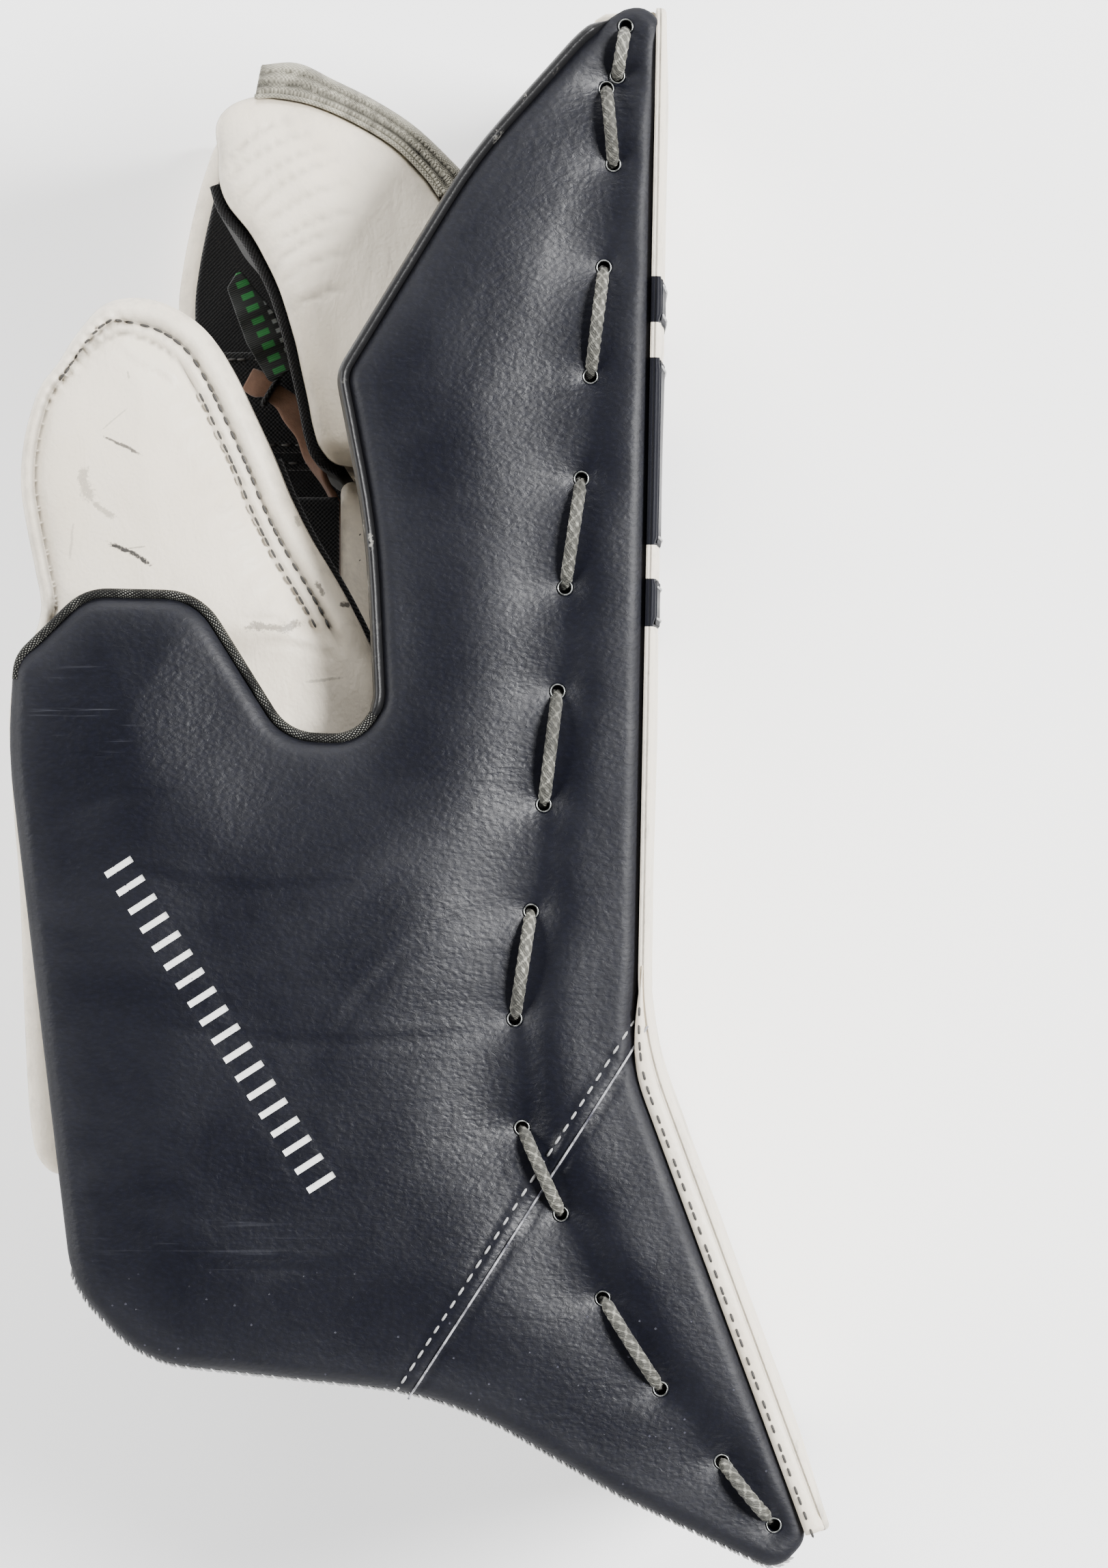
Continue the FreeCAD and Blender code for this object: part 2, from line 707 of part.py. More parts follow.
WRIST_PAD = [
    (-49.0, 157.5, 5),
    (-36.5, 168.0, 6),
    (-20.0, 167.5, 30),
    (2.0, 151.5, 60),
    (21.0, 128.0, 20),
    (rear_x(98.0), 98.0, 5),
    (rear_x(80.0), 80.0, 3),
    (-15.0, 78.5, 5),
    (-21.0, 90.0, 20),
    (-33.0, 122.0, 60),
    (-49.0, 140.5, 8),
]
WRIST_BINDING = [
    (-37.6, 169.5, 1),
    (-37.0, 176.5, 2),
    (-19.0, 173.5, 30),
    (6.0, 155.0, 60),
    (26.5, 130.0, 1),
    (22.0, 128.6, 1),
    (2.6, 152.6, 60),
    (-19.8, 168.6, 30),
]
LINER_FACE = ((-24.5, 85.0), (-33.3, 111.0))  # on the lining's palm face, where the band ends
WRIST_LINER = [(-49.6, 139.6), (-34.1, 121.4), (-22.2, 89.6), (-21.0, 79.0)]
LABEL = [(-46.4, 131.0), (-37.3, 119.6), (-31.9, 106.0), (-38.5, 101.8), (-44.5, 112.0), (-49.5, 126.0)]
THONG = [(-42.0, 102.5), (-31.5, 95.0), (-27.6, 88.0), (-26.0, 79.0), (-22.2, 74.0), (-20.2, 66.0), (-20.2, 48.0)]


def band(points, thick):
    """Outline of a band of even thickness on the palm side of a run of points."""
    line = [V(x, y, 0) for x, y in points]
    other = []
    for i, p in enumerate(line):
        run = (line[min(i + 1, len(line) - 1)] - line[max(i - 1, 0)]).normalize()
        other.append(p + V(run.y, -run.x, 0) * thick)
    return [(p.x, p.y, 0) for p in line + other[::-1]]


def make_wrist():
    """Padding between the board and the wrist, its mesh binding, lining, label and thong."""
    low, tall = "sizes.wrist_low", "sizes.wrist_tall"
    keep(pad("wrist_pad", WRIST_PAD, low, tall, 3.0), "wrist_pad")
    keep(pad("wrist_pad_binding", WRIST_BINDING, f"{low} + 4", f"{tall} - 8"), "wrist_pad_binding")
    liner = band(WRIST_LINER, size("liner"))
    keep(pad("wrist_liner", liner, f"{low} + 6", f"{tall} - 12"), "wrist_liner")
    label = [(x, y, 1) for x, y in LABEL]
    keep(pad("woven_label", label, "sizes.label_low", "sizes.label_thick"), "woven_label")
    thong = pad("suede_thong", band(THONG, 2.4), "sizes.thong_low", "sizes.thong_wide")
    keep(thong, "suede_thong")
    ring = doc.addObject("Part::Torus", "thong_cord")
    ring.setExpression("Radius1", "sizes.thong_wide / 2 + 1.6")
    ring.Radius2 = 0.7
    along = V(THONG[1][0] - THONG[0][0], THONG[1][1] - THONG[0][1], 0)
    middle = (V(*THONG[0], 0) + V(*THONG[1], 0)) * 0.5 + V(along.y, -along.x, 0).normalize() * 1.2
    ring.Placement = FreeCAD.Placement(middle, FreeCAD.Rotation(UP, along))
    ring.setExpression("Placement.Base.z", "sizes.thong_low + sizes.thong_wide / 2")
    keep(ring, "thong_cord")


# ---------------------------------------------------------------- hand pocket


def box_corners(x1, x2, y1, y2, r=0.0):
    """A rectangle's corners, counter-clockwise, all with one radius."""
    return [(x1, y1, r), (x2, y1, r), (x2, y2, r), (x1, y2, r)]


def make_hand_pocket():
    """Spacer foam on the board, padding on the back of the hand, palm and the two side walls."""
    back_x, palm_x = size("hand_back_x"), size("palm_x")
    wide = "sizes.hand_high - sizes.hand_low"
    pad_x = back_x + size("hand_back_thick")
    high_y, low_y = 77.0, -30.0
    spacer = [
        (pad_x + 0.05, high_y, 2),
        (pad_x + 0.05, low_y, 2),
        (rear_x(low_y), low_y, 2),
        (rear_x(high_y), high_y, 2),
    ]
    keep(pad("hand_spacer_foam", spacer, "sizes.hand_low", wide), "hand_spacer_foam")
    keep(
        pad("hand_back_pad", box_corners(back_x, pad_x, -12, 76, 3), "sizes.hand_low", wide),
        "hand_back_pad",
    )
    palm = box_corners(palm_x - size("palm_thick"), palm_x, -3, 74, 1.5)
    keep(pad("palm", palm, "sizes.hand_low", wide), "palm")
    wall = box_corners(palm_x + 0.2, back_x - 0.2, 0, 72)
    keep(pad("pocket_wall_pinky", wall, "sizes.hand_low", "sizes.gusset"), "pocket_wall_pinky")
    keep(
        pad("pocket_wall_thumb", wall, "sizes.hand_high - sizes.gusset", "sizes.gusset"),
        "pocket_wall_thumb",
    )
    make_finger_web(palm_x + 0.2, back_x - 0.2)


def make_finger_web(low_x, high_x):
    """Wall across the pocket at the knuckles, with an opening into each finger stall."""
    wall = doc.addObject("Part::Box", "web_wall")
    wall.Length = high_x - low_x
    wall.setExpression("Width", "sizes.finger_web")
    wall.setExpression("Height", "sizes.hand_high - sizes.hand_low - 2 * sizes.gusset")
    wall.Placement.Base = V(low_x, 0, 0)
    wall.setExpression("Placement.Base.y", "-sizes.finger_web - 0.3")
    wall.setExpression("Placement.Base.z", "sizes.hand_low + sizes.gusset")
    mouths = []
    for i in range(len(FINGERS)):
        mouth = doc.addObject("Part::Cylinder", f"finger_mouth_{i + 1}")
        mouth.setExpression("Radius", "sizes.finger_mouth")
        mouth.Height = 20
        mouth.Placement = FreeCAD.Placement(V(0, 5, 0), FreeCAD.Rotation(V(1, 0, 0), 90))
        mouth.setExpression("Placement.Base.x", "sizes.knuckle_x")
        mouth.setExpression("Placement.Base.z", f"sizes.finger_first_z - {i} * sizes.finger_pitch")
        mouths.append(mouth)
    all_mouths = doc.addObject("Part::Compound", "finger_mouths")
    all_mouths.Links = mouths
    keep(boolean("Cut", "finger_web", wall, all_mouths), "finger_web")


def ball(name, centre, radius):
    """A sphere whose radius is bound to the sheet."""
    sphere = doc.addObject("Part::Sphere", name)
    sphere.setExpression("Radius", radius)
    sphere.Placement.Base = centre
    return sphere


def rod_between(name, a, b, radius):
    """A cylinder from a to b whose radius is bound to the sheet."""
    rod = doc.addObject("Part::Cylinder", name)
    rod.setExpression("Radius", radius)
    rod.Height = (b - a).Length
    rod.Placement = FreeCAD.Placement(a, FreeCAD.Rotation(UP, b - a))
    return rod


def stall(label, points, radius):
    """A finger stall: rods between the points and a ball at each point, fused."""
    shapes = [ball(f"{label}_ball_{i}", p, radius) for i, p in enumerate(points)]
    shapes += [
        rod_between(f"{label}_rod_{i}", a, b, radius) for i, (a, b) in enumerate(zip(points, points[1:]))
    ]
    fused = doc.addObject("Part::MultiFuse", label)
    fused.Shapes = shapes
    fused.Refine = True
    keep(fused, label)


FINGERS = ["index", "middle", "ring", "pinky"]
FINGER_SHARE = {"index": 0.97, "middle": 1.06, "ring": 1.0, "pinky": 0.84}


def make_fingers():
    """Four curled finger stalls on the knuckle line and the thumb stall on the palm side."""
    for i, finger in enumerate(FINGERS):
        knuckle = V(size("knuckle_x"), size("knuckle_y"), size("finger_first_z") - i * size("finger_pitch"))
        share = FINGER_SHARE[finger]
        middle = knuckle + heading(-size("finger_near_lean")) * size("finger_near") * share
        tip = middle + heading(-size("finger_far_lean")) * size("finger_far") * share
        stall(f"finger_{finger}", [knuckle, middle, tip], "sizes.finger_radius")
    root = V(-78.2, 58.0, 136.0)
    tip = root + heading(-size("thumb_lean")) * size("thumb_length")
    stall("thumb_stall", [root, tip], "sizes.thumb_radius")


# ---------------------------------------------------------------- wrist strap


def make_strap():
    """Strap round the palm side of the wrist: its base, folding length, patches and catch."""
    low_y = size("strap_y")
    high_y = low_y + size("strap_width")
    near, thick, pile = size("strap_x"), size("strap_thick"), size("pile_thick")
    base_low = "sizes.wrist_low - sizes.strap_thick"
    keep(
        pad("strap_base", box_corners(near, 4, low_y, high_y, 1), base_low, "sizes.strap_thick"),
        "strap_base",
    )
    free_low = "sizes.wrist_low + sizes.strap_fold"
    free = box_corners(near, near + thick, low_y, high_y, 1)
    keep(pad("wrist_strap", free, free_low, "sizes.strap_reach"), "wrist_strap")

    hook_x = near + thick + 0.05
    hook = box_corners(hook_x, hook_x + pile, low_y + 2, high_y - 2)
    keep(pad("strap_hook_patch", hook, "sizes.strap_top - 34", "26"), "strap_hook_patch")
    pile_x = hook_x + pile + 0.2
    patch = box_corners(pile_x, pile_x + pile, low_y + 1, high_y - 1)
    keep(pad("strap_pile_patch", patch, "sizes.strap_top - 36", "32"), "strap_pile_patch")

    catch_x = pile_x + pile + 0.05
    catch = box_corners(catch_x, catch_x + thick, low_y, high_y, 1)
    keep(pad("strap_catch", catch, "sizes.strap_top - 38", "38"), "strap_catch")
    low, high = LINER_FACE
    across = [
        (catch_x + thick + 0.05, low_y, 0),
        (*low, 0),
        (*high, 0),
        (catch_x + thick + 0.05, high_y, 0),
    ]
    band_low = "sizes.strap_top - sizes.strap_thick"
    keep(pad("strap_catch_band", across, band_low, "sizes.strap_thick"), "strap_catch_band")


def write_parts():
    """Checks every object and every sub-part's shape, then writes the STEP files."""
    doc.recompute()
    failed = [o.Name for o in doc.Objects if set(o.State) & {"Invalid", "Error"}]
    if failed:
        raise RuntimeError(f"failed objects: {failed}")
    os.makedirs(OUT, exist_ok=True)
    for piece in kept:
        shape = piece.Shape
        if shape.isNull() or not shape.isValid() or not shape.Solids:
            raise RuntimeError(f"{piece.Label} has no valid solid")
        shape.exportStep(os.path.join(OUT, piece.Label + ".step"))
    print(f"{len(kept)} sub-parts written")


make_board()
make_stripes()
make_side_panel()
make_eyelets()
make_toe_roll()
make_flange()
make_lace()
make_thumb_side()
make_pinky_side()
make_wrist()
make_hand_pocket()
make_fingers()
make_strap()
write_parts()
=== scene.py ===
"""Goalie blocker: leather covers, padding, lacing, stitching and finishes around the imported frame."""

import math

import bmesh
import bpy
import numpy as np
from bpy.props import FloatProperty, FloatVectorProperty, PointerProperty
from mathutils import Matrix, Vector
from mathutils.geometry import delaunay_2d_cdt


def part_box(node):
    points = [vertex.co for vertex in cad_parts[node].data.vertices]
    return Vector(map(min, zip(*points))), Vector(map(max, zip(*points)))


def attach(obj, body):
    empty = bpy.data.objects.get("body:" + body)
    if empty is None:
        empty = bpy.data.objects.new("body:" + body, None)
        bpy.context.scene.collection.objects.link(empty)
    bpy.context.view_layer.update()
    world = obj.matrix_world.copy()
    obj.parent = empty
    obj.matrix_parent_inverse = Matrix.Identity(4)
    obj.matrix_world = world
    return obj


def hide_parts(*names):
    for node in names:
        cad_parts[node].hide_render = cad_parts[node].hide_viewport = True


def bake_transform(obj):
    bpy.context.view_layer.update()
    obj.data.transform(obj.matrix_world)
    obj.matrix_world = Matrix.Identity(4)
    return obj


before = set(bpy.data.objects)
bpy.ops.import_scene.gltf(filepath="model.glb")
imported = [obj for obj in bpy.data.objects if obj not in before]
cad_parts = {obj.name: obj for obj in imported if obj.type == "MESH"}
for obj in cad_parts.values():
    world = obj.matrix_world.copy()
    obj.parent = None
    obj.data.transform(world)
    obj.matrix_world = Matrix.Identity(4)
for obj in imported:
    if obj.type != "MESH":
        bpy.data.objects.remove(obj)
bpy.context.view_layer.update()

bl_info = {
    "name": "Goalie Blocker",
    "version": (1, 0, 0),
    "blender": (4, 5, 0),
    "location": "3D View > Sidebar > Blocker",
    "description": "Makes a laced, padded goalie blocker piece by piece",
    "category": "Add Mesh",
}

MM = 0.001
UP = (0, 0, 1)
SHELL = "blocker_shell"
AT_ONCE = 3000  # points compared with a line at one time, to spare memory


def low(node):
    """Height of a frame node's lowest point, in millimetres."""
    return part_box(node)[0].z / MM


def high(node):
    """Height of a frame node's highest point, in millimetres."""
    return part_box(node)[1].z / MM


# ---------------------------------------------------------------- properties


def colour(name, text, value):
    """A colour property."""
    return FloatVectorProperty(
        name=name, description=text, default=value, subtype="COLOR", size=3, min=0, max=1
    )


def length(name, text, value):
    """A length property, in metres."""
    return FloatProperty(name=name, description=text, default=value, unit="LENGTH", min=0)


class BlockerColours(bpy.types.PropertyGroup):
    """The colours of the leathers, cloths and cords."""

    navy: colour("Navy leather", "Side panel, stripes and the back of the board", (0.0022, 0.0026, 0.0062))
    white: colour("White leather", "Face, cuffs and guards", (0.86, 0.78, 0.645))
    binding: colour("Black binding", "Leather binding of the side panel", (0.0065, 0.0065, 0.007))
    lining: colour("Lining", "Knitted lining and tapes", (0.0022, 0.0022, 0.0024))
    mesh_tape: colour("Mesh tape", "Woven binding of the wrist pad", (0.52, 0.49, 0.39))
    suede: colour("Suede", "Thong in the cuff", (0.21, 0.11, 0.068))
    palm: colour("Palm leather", "Palm and thumb stall", (0.46, 0.39, 0.29))
    lace: colour("Lace", "Braided lace", (0.23, 0.225, 0.19))
    thread_dark: colour("Dark thread", "Stitches in white leather", (0.045, 0.042, 0.038))
    thread_light: colour("Light thread", "Stitches in navy leather", (0.42, 0.42, 0.42))
    ring: colour("Rings", "Rings of the lace holes", (0.30, 0.31, 0.30))


class BlockerSizes(bpy.types.PropertyGroup):
    """The sizes of the soft pieces."""

    side_edge: length("Side panel edge", "Radius of the side panel's edge", 0.0042)
    side_crown: length("Side panel crown", "How far the side panel's padding stands proud", 0.0020)
    lace_valley: length("Lace valley", "How deep the lace pulls the panel in", 0.0030)
    cuff_edge: length("Cuff edge", "Radius of the cuff's rolled edge", 0.0046)
    stitch: length("Stitch", "Length of a stitch", 0.0026)
    thread: length("Thread", "Radius of the thread", 0.00032)
    face_crown: length("Face crown", "How far the face's padding stands proud", 0.0012)


# ---------------------------------------------------------------- meshes


def signed_volume(points, faces):
    """Six times the volume that the faces enclose: the sum over fan triangles of a . (b x c)."""
    total = 0.0
    for group in faces:
        group = np.asarray(group)
        a = points[group[:, 0]]
        for k in range(1, group.shape[1] - 1):
            total += np.einsum("ij,ij->", a, np.cross(points[group[:, k]], points[group[:, k + 1]]))
    return total


def piece(name, points, faces, material, body=SHELL, uv=None, marks=None, outward=True):
    """A mesh object from points in millimetres and groups of faces of one size each. Faces are turned so
    that the volume they enclose is positive. uv is one pair a point, and marks are named numbers a point."""
    points = np.asarray(points, float) * MM
    if outward and signed_volume(points, faces) < 0:
        faces = [np.asarray(g)[:, ::-1] for g in faces]
    mesh = bpy.data.meshes.new(name)
    mesh.from_pydata(points.tolist(), [], [f for g in faces for f in np.asarray(g).tolist()])
    mesh.polygons.foreach_set("use_smooth", np.ones(len(mesh.polygons), bool))
    if uv is not None:
        layer = mesh.uv_layers.new(name="along")
        corner = np.zeros(len(mesh.loops), np.int32)
        mesh.loops.foreach_get("vertex_index", corner)
        layer.data.foreach_set("uv", np.asarray(uv, np.float32)[corner].ravel())
    for mark, values in (marks or {}).items():
        attribute = mesh.attributes.new(mark, "FLOAT", "POINT")
        attribute.data.foreach_set("value", np.asarray(values, np.float32))
    mesh.materials.append(material)
    made = bpy.data.objects.new(name, mesh)
    bpy.context.scene.collection.objects.link(made)
    if body:
        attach(made, body)
    return made


def grid_faces(rows, columns, around=False, along=False, start=0):
    """Quads of a grid numbered row by row, closed around its columns or along its rows if asked."""
    i = np.arange(rows if along else rows - 1)
    j = np.arange(columns if around else columns - 1)
    i, j = [x.ravel() for x in np.meshgrid(i, j, indexing="ij")]
    i2, j2 = (i + 1) % rows, (j + 1) % columns
    return start + np.stack([i * columns + j, i2 * columns + j, i2 * columns + j2, i * columns + j2], 1)


def unit(v):
    """Rows scaled to length one."""
    return v / np.maximum(np.linalg.norm(v, axis=-1, keepdims=True), 1e-9)


def run_length(path):
    """Distance along a path at each of its points."""
    steps = np.linalg.norm(np.diff(path, axis=0), axis=1)
    return np.concatenate([[0], np.cumsum(steps)])


def even_path(path, step, closed=False):
    """The path's points again at even distances, by straight interpolation along its length."""
    path = np.asarray(path, float)
    if closed:
        path = np.vstack([path, path[:1]])
    s = run_length(path)
    count = max(int(round(s[-1] / step)), 3)
    at = np.linspace(0, s[-1], count + 1)
    if closed:
        at = at[:-1]
    return np.stack([np.interp(at, s, path[:, k]) for k in range(path.shape[1])], 1)


def smooth_line(points, closed=False, each=12):
    """A Catmull-Rom curve through the points: each span is the cubic whose end slopes are half the
    difference of the neighbouring points."""
    p = np.asarray(points, float)
    before, after, last = (
        (np.roll(p, 1, 0), np.roll(p, -1, 0), np.roll(p, -2, 0))
        if closed
        else (
            np.vstack([2 * p[0] - p[1], p[:-2]]),
            p[1:],
            np.vstack([p[2:], 2 * p[-1] - p[-2]]),
        )
    )
    here = p if closed else p[:-1]
    t = np.linspace(0, 1, each, endpoint=False)[None, :, None]
    a, b, c, d = (x[:, None, :] for x in (before, here, after, last))
    curve = 0.5 * (
        2 * b + (c - a) * t + (2 * a - 5 * b + 4 * c - d) * t**2 + (3 * b - a - 3 * c + d) * t**3
    )
    curve = curve.reshape(-1, p.shape[1])
    return curve if closed else np.vstack([curve, p[-1:]])


def sweep(path, normal, profile, closed=False, size=1.0):
    """Points and faces of a closed profile carried along a path: point = path + x side + y normal, where
    side is the path's direction crossed with the normal. Open paths get flat ends. Also returns the
    distance along and round, as texture coordinates in metres."""
    path, profile = np.asarray(path, float), np.asarray(profile, float)
    ahead = np.roll(path, -1, 0) - np.roll(path, 1, 0) if closed else np.gradient(path, axis=0)
    ahead = unit(ahead)
    normal = np.broadcast_to(np.asarray(normal, float), path.shape)
    side = unit(np.cross(ahead, normal))
    normal = unit(np.cross(side, ahead))
    size = np.broadcast_to(np.asarray(size, float), (len(path),))[:, None, None]
    flat = profile[None] * size
    points = path[:, None] + flat[..., :1] * side[:, None] + flat[..., 1:] * normal[:, None]
    rows, columns = len(path), len(profile)
    faces = [grid_faces(rows, columns, True, closed)]
    if not closed:
        faces += [np.arange(columns)[None], (rows - 1) * columns + np.arange(columns)[None, ::-1]]
    around = run_length(np.vstack([profile, profile[:1]]))[:-1]
    uv = np.stack(np.broadcast_arrays(run_length(path)[:, None], around[None]), -1).reshape(-1, 2) * MM
    return points.reshape(-1, 3), faces, uv


def oval(width, tall, count=10):
    """An ellipse as a profile."""
    t = np.linspace(0, 2 * np.pi, count, endpoint=False)
    return np.stack([np.cos(t) * width / 2, np.sin(t) * tall / 2], 1)


def tape(width, thick, count=9):
    """A flat band's profile with round edges: a superellipse, flatter across than an ellipse."""
    t = np.linspace(0, 2 * np.pi, 4 * count, endpoint=False)
    x, y = np.cos(t), np.sin(t)
    return np.stack([np.sign(x) * abs(x) ** 0.35 * width / 2, np.sign(y) * abs(y) ** 0.7 * thick / 2], 1)


def shell(outer, inner):
    """Points and faces of a closed shell between two grids of the same size, joined round their rims."""
    rows, columns = outer.shape[:2]
    count = rows * columns
    number = np.arange(count).reshape(rows, columns)
    rim = np.concatenate([number[0, :-1], number[:-1, -1], number[-1, :0:-1], number[:0:-1, 0]])
    after = np.roll(rim, -1)
    walls = np.stack([rim, rim + count, after + count, after], 1)
    face = grid_faces(rows, columns)
    points = np.vstack([outer.reshape(-1, 3), inner.reshape(-1, 3)])
    return points, [face, face[:, ::-1] + count, walls]


def stitches(name, path, normal, pitch, material, body=SHELL, sink=0.1, lean=0.0):
    """A row of stitches along a path: each is a small spindle, round in section and pointed at both ends,
    laid along the path and sunk at its ends. lean turns each one about the normal, in radians."""
    sizes = bpy.context.scene.blocker_sizes
    half, radius = sizes.stitch / MM / 2, sizes.thread / MM
    path = np.asarray(path, float)
    s = run_length(path)
    at = np.arange(pitch / 2, s[-1], pitch)
    at = at + 0.18 * pitch * np.sin(at * 12.9898)
    centre = np.stack([np.interp(at, s, path[:, k]) for k in range(3)], 1)
    ahead = unit(np.stack([np.interp(at + 0.4, s, path[:, k]) for k in range(3)], 1) - centre + 1e-9)
    normal = np.broadcast_to(np.asarray(normal, float), path.shape)
    up = unit(np.stack([np.interp(at, s, normal[:, k]) for k in range(3)], 1))
    side = unit(np.cross(ahead, up))
    ahead = unit(ahead * math.cos(lean) + side * math.sin(lean))
    side = unit(np.cross(ahead, up))
    u = np.linspace(-1, 1, 7)
    v = np.linspace(0, 2 * np.pi, 6, endpoint=False)
    thick = radius * np.sqrt(np.clip(1 - u**4, 0.03, 1))
    lift = radius * 0.5 - sink * u**4 * 4
    along = (half * u)[:, None] * np.ones_like(v)
    out = thick[:, None] * np.cos(v)
    rise = thick[:, None] * np.sin(v) + lift[:, None]
    points = (
        centre[:, None, None]
        + along[None, ..., None] * ahead[:, None, None]
        + out[None, ..., None] * side[:, None, None]
        + rise[None, ..., None] * up[:, None, None]
    )
    one = [grid_faces(7, 6, True), np.arange(6)[None], 36 + np.arange(6)[None, ::-1]]
    shift = (np.arange(len(centre)) * 42)[:, None, None]
    faces = [(g[None] + shift).reshape(-1, g.shape[1]) for g in one]
    return piece(name, points.reshape(-1, 3), faces, material, body)


# ---------------------------------------------------------------- outlines and pads


def outline_of(node, share=0.5):
    """Outer outline of a frame node where a level plane cuts it, counter-clockwise, in millimetres: the
    cut's edges are joined end to end, and the loop that holds the largest area is kept."""
    z = low(node) + (high(node) - low(node)) * share
    work = bmesh.new()
    work.from_mesh(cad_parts[node].data)
    bmesh.ops.remove_doubles(work, verts=work.verts, dist=1e-6)
    cut = bmesh.ops.bisect_plane(
        work,
        geom=[*work.verts, *work.edges, *work.faces],
        plane_co=(0, 0, z * MM),
        plane_no=UP,
    )
    work.verts.index_update()
    neighbours = {}
    for e in cut["geom_cut"]:
        if isinstance(e, bmesh.types.BMEdge):
            a, b = (v.index for v in e.verts)
            neighbours.setdefault(a, []).append(b)
            neighbours.setdefault(b, []).append(a)
    place = {v.index: (v.co.x / MM, v.co.y / MM) for v in work.verts if v.index in neighbours}
    loops, left = [], set(neighbours)
    while left:
        start = left.pop()
        loop, at = [start], start
        while True:
            onward = [k for k in neighbours[at] if k in left]
            if not onward:
                break
            at = onward[0]
            left.discard(at)
            loop.append(at)
        loops.append(np.array([place[k] for k in loop]))
    work.free()
    best = max(loops, key=lambda loop: abs(area(loop)))
    return best if area(best) > 0 else best[::-1]


def area(loop):
    """Signed area of a closed outline, positive counter-clockwise."""
    x, y = loop[:, 0], loop[:, 1]
    return 0.5 * float(np.sum(x * np.roll(y, -1) - np.roll(x, -1) * y))


def inward(loop):
    """Unit normals of a counter-clockwise outline that point into it."""
    run = unit(np.roll(loop, -1, 0) - np.roll(loop, 1, 0))
    return np.stack([-run[:, 1], run[:, 0]], 1)


def inside(points, loop):
    """Whether each point is in the outline, by counting the edges that a ray towards +X crosses."""
    a, b = loop, np.roll(loop, -1, 0)
    x, y = points[:, :1], points[:, 1:2]
    cross = (a[:, 1] > y) != (b[:, 1] > y)
    rise = np.where(abs(b[:, 1] - a[:, 1]) < 1e-12, 1e-12, b[:, 1] - a[:, 1])
    at = a[:, 0] + (y - a[:, 1]) / rise * (b[:, 0] - a[:, 0])
    return (np.sum(cross & (x < at), 1) % 2) == 1


def from_line(points, line, closed=False):
    """Distance from each point to a line of straight runs."""
    a = np.asarray(line, float)
    b = np.roll(a, -1, 0) if closed else a[1:]
    a = a if closed else a[:-1]
    run = b - a
    square = np.maximum((run**2).sum(1), 1e-12)
    nearest = np.full(len(points), 1e9)
    for first in range(0, len(points), AT_ONCE):
        p = points[first : first + AT_ONCE, None]
        t = np.clip(((p - a) * run).sum(2) / square, 0, 1)
        nearest[first : first + AT_ONCE] = np.linalg.norm(p - a - t[..., None] * run, axis=2).min(1)
    return nearest


def triangulate(points, rim):
    """Triangles of the points within the closed rim, which is the first points in order."""
    edges = [(i, (i + 1) % rim) for i in range(rim)]
    made = delaunay_2d_cdt([Vector(p) for p in points.tolist()], edges, [], 1, 1e-4)
    old = np.array([o[0] if o else -1 for o in made[3]])
    triangles = old[np.array(made[2])]
    return triangles[(triangles >= 0).all(1)]


def rise_of(d, edge):
    """Quarter circle from 0 at the rim to 1 at distance edge."""
    return np.sqrt(np.clip(1 - (1 - np.clip(d / edge, 0, 1)) ** 2, 0, 1))


def pad_mesh(loop, bottom, top, edge, step, above=None, below=None, extra=None, under_edge=None):
    """Points and faces of a pad over an outline: its height at distance d from the rim is a quarter
    circle of radius edge and then above(points, d), and the same downwards with below."""
    loop = even_path(loop, step * 0.75, True)
    within = inward(loop)
    rings = [loop]
    for share in (0.04, 0.14, 0.3, 0.52, 0.78, 1.05):
        ring = loop + within * edge * share
        rings.append(ring[from_line(ring, loop, True) > edge * share * 0.93])
    (x1, y1), (x2, y2) = loop.min(0), loop.max(0)
    x, y = np.meshgrid(np.arange(x1, x2, step), np.arange(y1, y2, step * 0.866))
    x = x + (np.arange(len(x)) % 2)[:, None] * step / 2
    fill = np.stack([x.ravel(), y.ravel()], 1)
    fill = fill[inside(fill, loop)]
    fill = fill[from_line(fill, loop, True) > edge * 1.05 + step * 0.45]
    if extra is not None:
        fill = fill[np.min(np.linalg.norm(fill[:, None] - extra[None], axis=2), 1) > step * 0.45]
        rings.append(extra)
    flat = np.vstack([*rings, fill])
    d = from_line(flat, loop, True)
    d[: len(loop)] = 0
    triangles = triangulate(flat, len(loop))
    rise = rise_of(d, edge)
    under = under_edge or edge
    fall = rise_of(d, under)
    z1 = top - edge + edge * rise + (above(flat, d) * rise if above else 0)
    z2 = bottom + under - under * fall - (below(flat, d) * fall if below else 0)
    count = len(flat)
    points = np.vstack([np.column_stack([flat, z1]), np.column_stack([flat, z2])])
    i = np.arange(len(loop))
    j = (i + 1) % len(loop)
    walls = np.stack([i, i + count, j + count, j], 1)
    faces = [triangles, triangles[:, ::-1] + count, walls[:, ::-1]]
    marks = {"rim": np.exp(-np.concatenate([d, d]) / 4.0)}
    return points, faces, marks, d


def bell(t, width):
    """exp(-(t / width) squared)."""
    return np.exp(-((t / width) ** 2))


def step_up(t):
    """0 below 0, 1 above 1 and smooth between."""
    t = np.clip(t, 0, 1)
    return t * t * (3 - 2 * t)


def bumps(x, y, scale, seed=0.0):
    """Smooth unevenness between about -1 and 1: a product and sum of sines of unlike wavelengths."""
    a = np.sin(x / scale * 2.1 + seed) * np.sin(y / scale * 1.7 + seed * 2.3)
    b = np.sin((x * 0.7 + y * 1.1) / scale * 1.3 + seed * 3.1)
    c = np.sin((x * 1.3 - y * 0.6) / scale * 2.9 + seed * 0.7)
    return 0.5 * a + 0.3 * b + 0.2 * c


